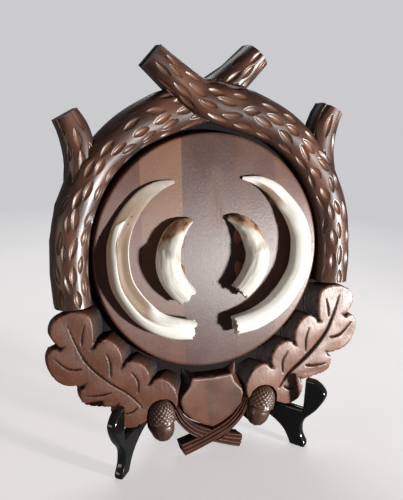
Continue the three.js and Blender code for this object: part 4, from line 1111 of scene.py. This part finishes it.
# Brass: at the plaque's back a stamped strap with a rolled eye, a wire ring and two screws, and on
# the stand a butt hinge with its pin and four screws. Edges are eased by tumbling, and it has aged.
brass, tree, shader = new_finish("aged_brass")
spot = put(tree, "TexCoord").outputs["Object"]
tarnish = noise_over(tree, spot, 260.0, Detail=6.0)
scratches = noise_over(tree, spot, 700.0, (1.0, 14.0, 1.0), Detail=3.0)
tarnished = ramp(tree, tarnish, (0.48, 0.0), (0.8, 1.0))
lay_on(tree, shader, mix(tree, tarnished, stain(204, 170, 98), stain(116, 86, 46)),
       summed(tree, 0.18, (tarnish, 0.35)), scratches, 0.15, 0.0002, Metallic=1.0)
bodies = frame["record"]["behaviour"]["bodies"]
node_bodies = {node: body for body, nodes in bodies.items() for node in nodes}
soft_edge = 0.2 * MM
for node in [node for node in frame["nodes"] if node.startswith(("hanger", "hinge"))]:
    shape = bmesh.new()
    shape.from_mesh(frame["nodes"][node].data)
    bmesh.ops.remove_doubles(shape, verts=shape.verts, dist=0.001 * MM)
    if node != "hanger_ring":
        bmesh.ops.dissolve_limit(shape, angle_limit=math.radians(1), verts=shape.verts, edges=shape.edges)
    rough = new_object("rough", bpy.data.meshes.new("rough"))
    shape.to_mesh(rough.data)
    shape.free()
    if node == "hanger_ring":
        rough.modifiers.new("round", "SUBSURF").levels = 2
    else:
        eased = rough.modifiers.new("eased", "BEVEL")
        eased.width = soft_edge
        eased.segments = 2
        eased.limit_method = "ANGLE"
    mesh = worked_mesh(rough)
    bpy.data.objects.remove(rough)
    add_piece(f"brass_{node}", mesh, brass, node, node_bodies[node], Matrix.Identity(4), 35)


# Stand: two boards cut to a foot, a lip, a notch and a tall back arm, spray-lacquered glossy black.
# Each has a recess for its hinge leaf and is drawn flat, forwards and upwards from the hinge pin.
lacquer, tree, shader = new_finish("black_lacquer")
spot = put(tree, "TexCoord").outputs["Object"]
orange_peel = noise_over(tree, spot, 150.0, Detail=3.0)
dust = noise_over(tree, spot, 1800.0, Detail=2.0)
dusty = ramp(tree, dust, (0.68, 0.0), (0.78, 0.2))
lay_on(tree, shader, mix(tree, dusty, stain(16, 16, 18), stain(96, 94, 92)),
       summed(tree, 0.08, (orange_peel, 0.16)), orange_peel, 0.08, 0.0006,
       Coat_Weight=0.4, Coat_Roughness=0.06)
half_angle = math.radians(40)
board_thickness, board_round, cad_round, pin_edge, board_inset = 8.0, 2.0, 1.2, 3.6, 0.2
notch_depth, lip_depth, lip_clearance, arm_rise = 31.0, 20.0, 4, 92.0
plaque_low, leaf_height, rest_clearance, rear_top = 145.5, 19.0, 0.3, 0.45
leaf_cut = [(-2, 14.8), (17.7, 62.3), (-2, 1.5)]
notch_floor = field_height - plaque_low * math.cos(lean) - (field_face - carving_base) * math.sin(lean) \
    - rest_clearance
arm_top = notch_floor + arm_rise


def arm_reach(height):
    """How far forward of the pin the plaque's back plane stands at a height."""
    rise = height - field_height + field_face * math.sin(lean)
    depth = rise * math.tan(lean) + field_face * math.cos(lean)
    return (hinge_behind_field - depth) / math.cos(half_angle) + cad_round * math.tan(half_angle) \
        - rest_clearance / math.cos(half_angle)


front_depth = -plaque_low * math.sin(lean) - (leaf_height - field_face) * math.cos(lean)
lip_reach = (hinge_behind_field - front_depth + lip_clearance + board_thickness * math.sin(half_angle)) \
    / math.cos(half_angle)
low_scale = [lip_reach + lip_depth, notch_floor]
arm_foot = arm_reach(notch_floor)
arch_shares = [[0.13, 0], [0.16, 0.22], [0.28, 0.56], [0.45, 0.69], [0.62, 0.62], [0.74, 0.37], [0.8, 0]]
shin_shares = [[0.895, 0], [0.9, 0.13], [0.868, 0.37], [0.875, 0.7]]
lip_shares = [[0.65, 0.1], [1, 0.6], [0.8, 0.86], [0.45, 1]]
arm_shares = [[0.7, 1.03], [0.63, 1.01], [0.48, 0.71], [0.33, 0.52], [0.18, 0.46]]
shin = np.array(shin_shares) * low_scale
lip = np.array(lip_shares) * [lip_depth, notch_depth] + [lip_reach, notch_floor]
arm = np.array(arm_shares) * [arm_foot, arm_rise] + [0, notch_floor]
board_line = np.vstack([
    [[pin_edge, 0]],
    smooth_curve(np.array(arch_shares) * low_scale, 8),
    smooth_curve(np.vstack([shin, lip]), 8),
    [[lip_reach, notch_floor + notch_depth], [lip_reach, notch_floor], [arm_foot, notch_floor]],
    smooth_curve(np.vstack([[[arm_reach(arm_top), arm_top]], arm]), 8),
    [[pin_edge, notch_floor + rear_top * arm_rise], [pin_edge, 0]],
])
travelled = np.concatenate([[0], np.cumsum(np.hypot(*np.diff(board_line, axis=0).T))])
places = np.linspace(0, travelled[-1], 900, endpoint=False)
board_line = np.column_stack([np.interp(places, travelled, board_line[:, i]) for i in (0, 1)])
for _ in range(3):
    board_line = (np.roll(board_line, 1, axis=0) + 2 * board_line + np.roll(board_line, -1, axis=0)) / 4
board_line = grown(board_line, -board_inset)
board_line[:, 1] -= board_line[:, 1].min()
flat, sheet = triangulate([(board_line, True)], lambda points: within(board_line, points),
                          spacing=6.0, fine=0.6, fine_reach=2.6)
drop = eased_edge(distance(board_line, flat, True)[0], board_round)
board_points = np.vstack([np.column_stack([flat, board_thickness - drop]), np.column_stack([flat, drop])])
under = len(flat)
board_faces = [tuple(f) for f in sheet.tolist()] + [tuple(f) for f in (sheet[:, ::-1] + under).tolist()]
for loop in rim_loops(sheet):
    board_faces += [(b, a, a + under, b + under) for a, b in zip(loop, loop[1:] + loop[:1])]
cutter_points = np.array([(x, y, z) for x in leaf_cut[0] for y in leaf_cut[1] for z in leaf_cut[2]], float)
cutter_faces = [(0, 1, 3, 2), (4, 6, 7, 5), (0, 4, 5, 1), (2, 3, 7, 6), (0, 2, 6, 4), (1, 5, 7, 3)]
pin_middle = Vector((0, field_front + hinge_behind_field * MM, 0))
stood_up = Matrix.Rotation(-math.pi / 2, 4, "Z") @ Matrix.Rotation(math.pi / 2, 4, "X")
for name, side in sides.items():
    solids = [(board_points, board_faces), (cutter_points, cutter_faces)]
    if side > 0:
        solids = [(points * [1, 1, -1], [f[::-1] for f in faces]) for points, faces in solids]
    board = combined("DIFFERENCE", *(make_mesh(points, faces) for points, faces in solids))
    board_place = Matrix.Translation(pin_middle) @ Matrix.Rotation(side * half_angle, 4, "Z") @ stood_up
    add_piece(f"folding_board_{name}", board, lacquer, f"stand_board_{name}",
              f"stand_{name}", board_place, 35)


# Set-up: a pale floor that runs on into a pale room without a line, one window-like lamp from the
# right, a weak warm one from the left, a soft one from above and behind, and the camera. The wood
# gets back less light from the floor and the room than the camera sees in them.
room_colour = stain(203, 203, 206)
floor_colours = stain(232, 229, 228), stain(222, 219, 219)
floor_for_wood = stain(96, 94, 94)
floor_lift, room_light, mirror_share = 0.6, 0.05, 0.15
near_floor, far_floor, floor_reach = 0.35, 0.75, 6.0


def seen_plainly(tree):
    """One where the camera looks straight at a surface, and a share of one in a mirror or glass."""
    path = put(tree, "LightPath").outputs
    bright = calc(tree, "MAXIMUM", path["Is Glossy Ray"], path["Is Transmission Ray"])
    return summed(tree, path["Is Camera Ray"], (bright, mirror_share))


cloth, tree, shader = new_finish("pale_cloth")
spot = put(tree, "TexCoord").outputs["Object"]
patches = ramp(tree, noise_over(tree, spot, 2.2, Detail=3.0), (0.35, 0.0), (0.65, 1.0))
colour = mix(tree, patches, *floor_colours)
away = put(tree, "VectorMath", {"operation": "LENGTH"}, Vector=spot).outputs["Value"]
far = ramp(tree, away, (near_floor, 0.0), (far_floor, 1.0))
seen = seen_plainly(tree)
near_colour = mix(tree, far, colour, stain(0, 0, 0))
tree.links.new(mix(tree, seen, floor_for_wood, near_colour), shader.inputs["Base Color"])
tree.links.new(mix(tree, far, colour, room_colour), shader.inputs["Emission Color"])
tree.links.new(calc(tree, "MULTIPLY", seen, summed(tree, floor_lift, (far, 1 - floor_lift))),
               shader.inputs["Emission Strength"])
shader.inputs["Roughness"].default_value = 0.95
shader.inputs["Specular IOR Level"].default_value = 0.0
floor_mesh = bpy.data.meshes.new("floor")
floor_corners = [(-1, -1), (1, -1), (1, 1), (-1, 1)]
floor_points = [(x * floor_reach, y * floor_reach, 0) for x, y in floor_corners]
floor_mesh.from_pydata(floor_points, [], [(0, 1, 2, 3)])
floor_mesh.materials.append(cloth)
new_object("floor", floor_mesh)

world = bpy.data.worlds.new("studio")
bpy.context.scene.world = world
world.use_nodes = True
tree = world.node_tree
room = tree.nodes["Background"]
room.inputs["Color"].default_value = room_colour
tree.links.new(summed(tree, room_light, (seen_plainly(tree), 1 - room_light)), room.inputs["Strength"])


def lamp(name, place, aim, width, height, watts, colour):
    """An even rectangular lamp, which the camera doesn't see itself."""
    data = bpy.data.lights.new(name, "AREA")
    data.shape = "RECTANGLE"
    data.size = width
    data.size_y = height
    data.energy = watts
    data.color = colour
    made = new_object(name, data)
    made.location = place
    made.visible_camera = False
    made.rotation_mode = "QUATERNION"
    made.rotation_quaternion = (Vector(aim) - Vector(place)).to_track_quat("-Z", "Y")


lamp("window", (0.785, -0.915, 0.085), (0, 0, 0.18), 0.12, 0.11, 25.5, (1.0, 0.985, 0.965))
lamp("bounce", (-1.15, -0.45, 0.12), (0, 0, 0.16), 0.7, 0.5, 3.8, (1.0, 0.87, 0.76))
lamp("ceiling", (0.3, 0.9, 1.0), (0, 0.05, 0.15), 0.8, 0.8, 7.0, (0.96, 0.98, 1.0))

field_centre = Vector((0, field_front, field_height * MM))
camera_place = field_centre + Vector((-0.2302, -0.5919, 0.2314))
view_way = Vector((0.3312, 0.8799, -0.3407)).normalized()
level_turn, roll = math.radians(20.63), math.radians(2.5)
level = Vector((math.cos(level_turn), -math.sin(level_turn), 0))
upright = level.cross(view_way)
camera_right = math.cos(roll) * level + math.sin(roll) * upright
camera_up = math.cos(roll) * upright - math.sin(roll) * level
camera_data = bpy.data.cameras.new("camera")
camera_data.lens = 57.6
camera_data.clip_start = 0.02
camera_data.clip_end = 20
camera = new_object("camera", camera_data)
camera.matrix_world = Matrix([
    (camera_right[i], camera_up[i], -view_way[i], camera_place[i]) for i in range(3)
] + [(0, 0, 0, 1)])
bpy.context.scene.camera = camera
bpy.context.scene.view_settings.view_transform = "Standard"
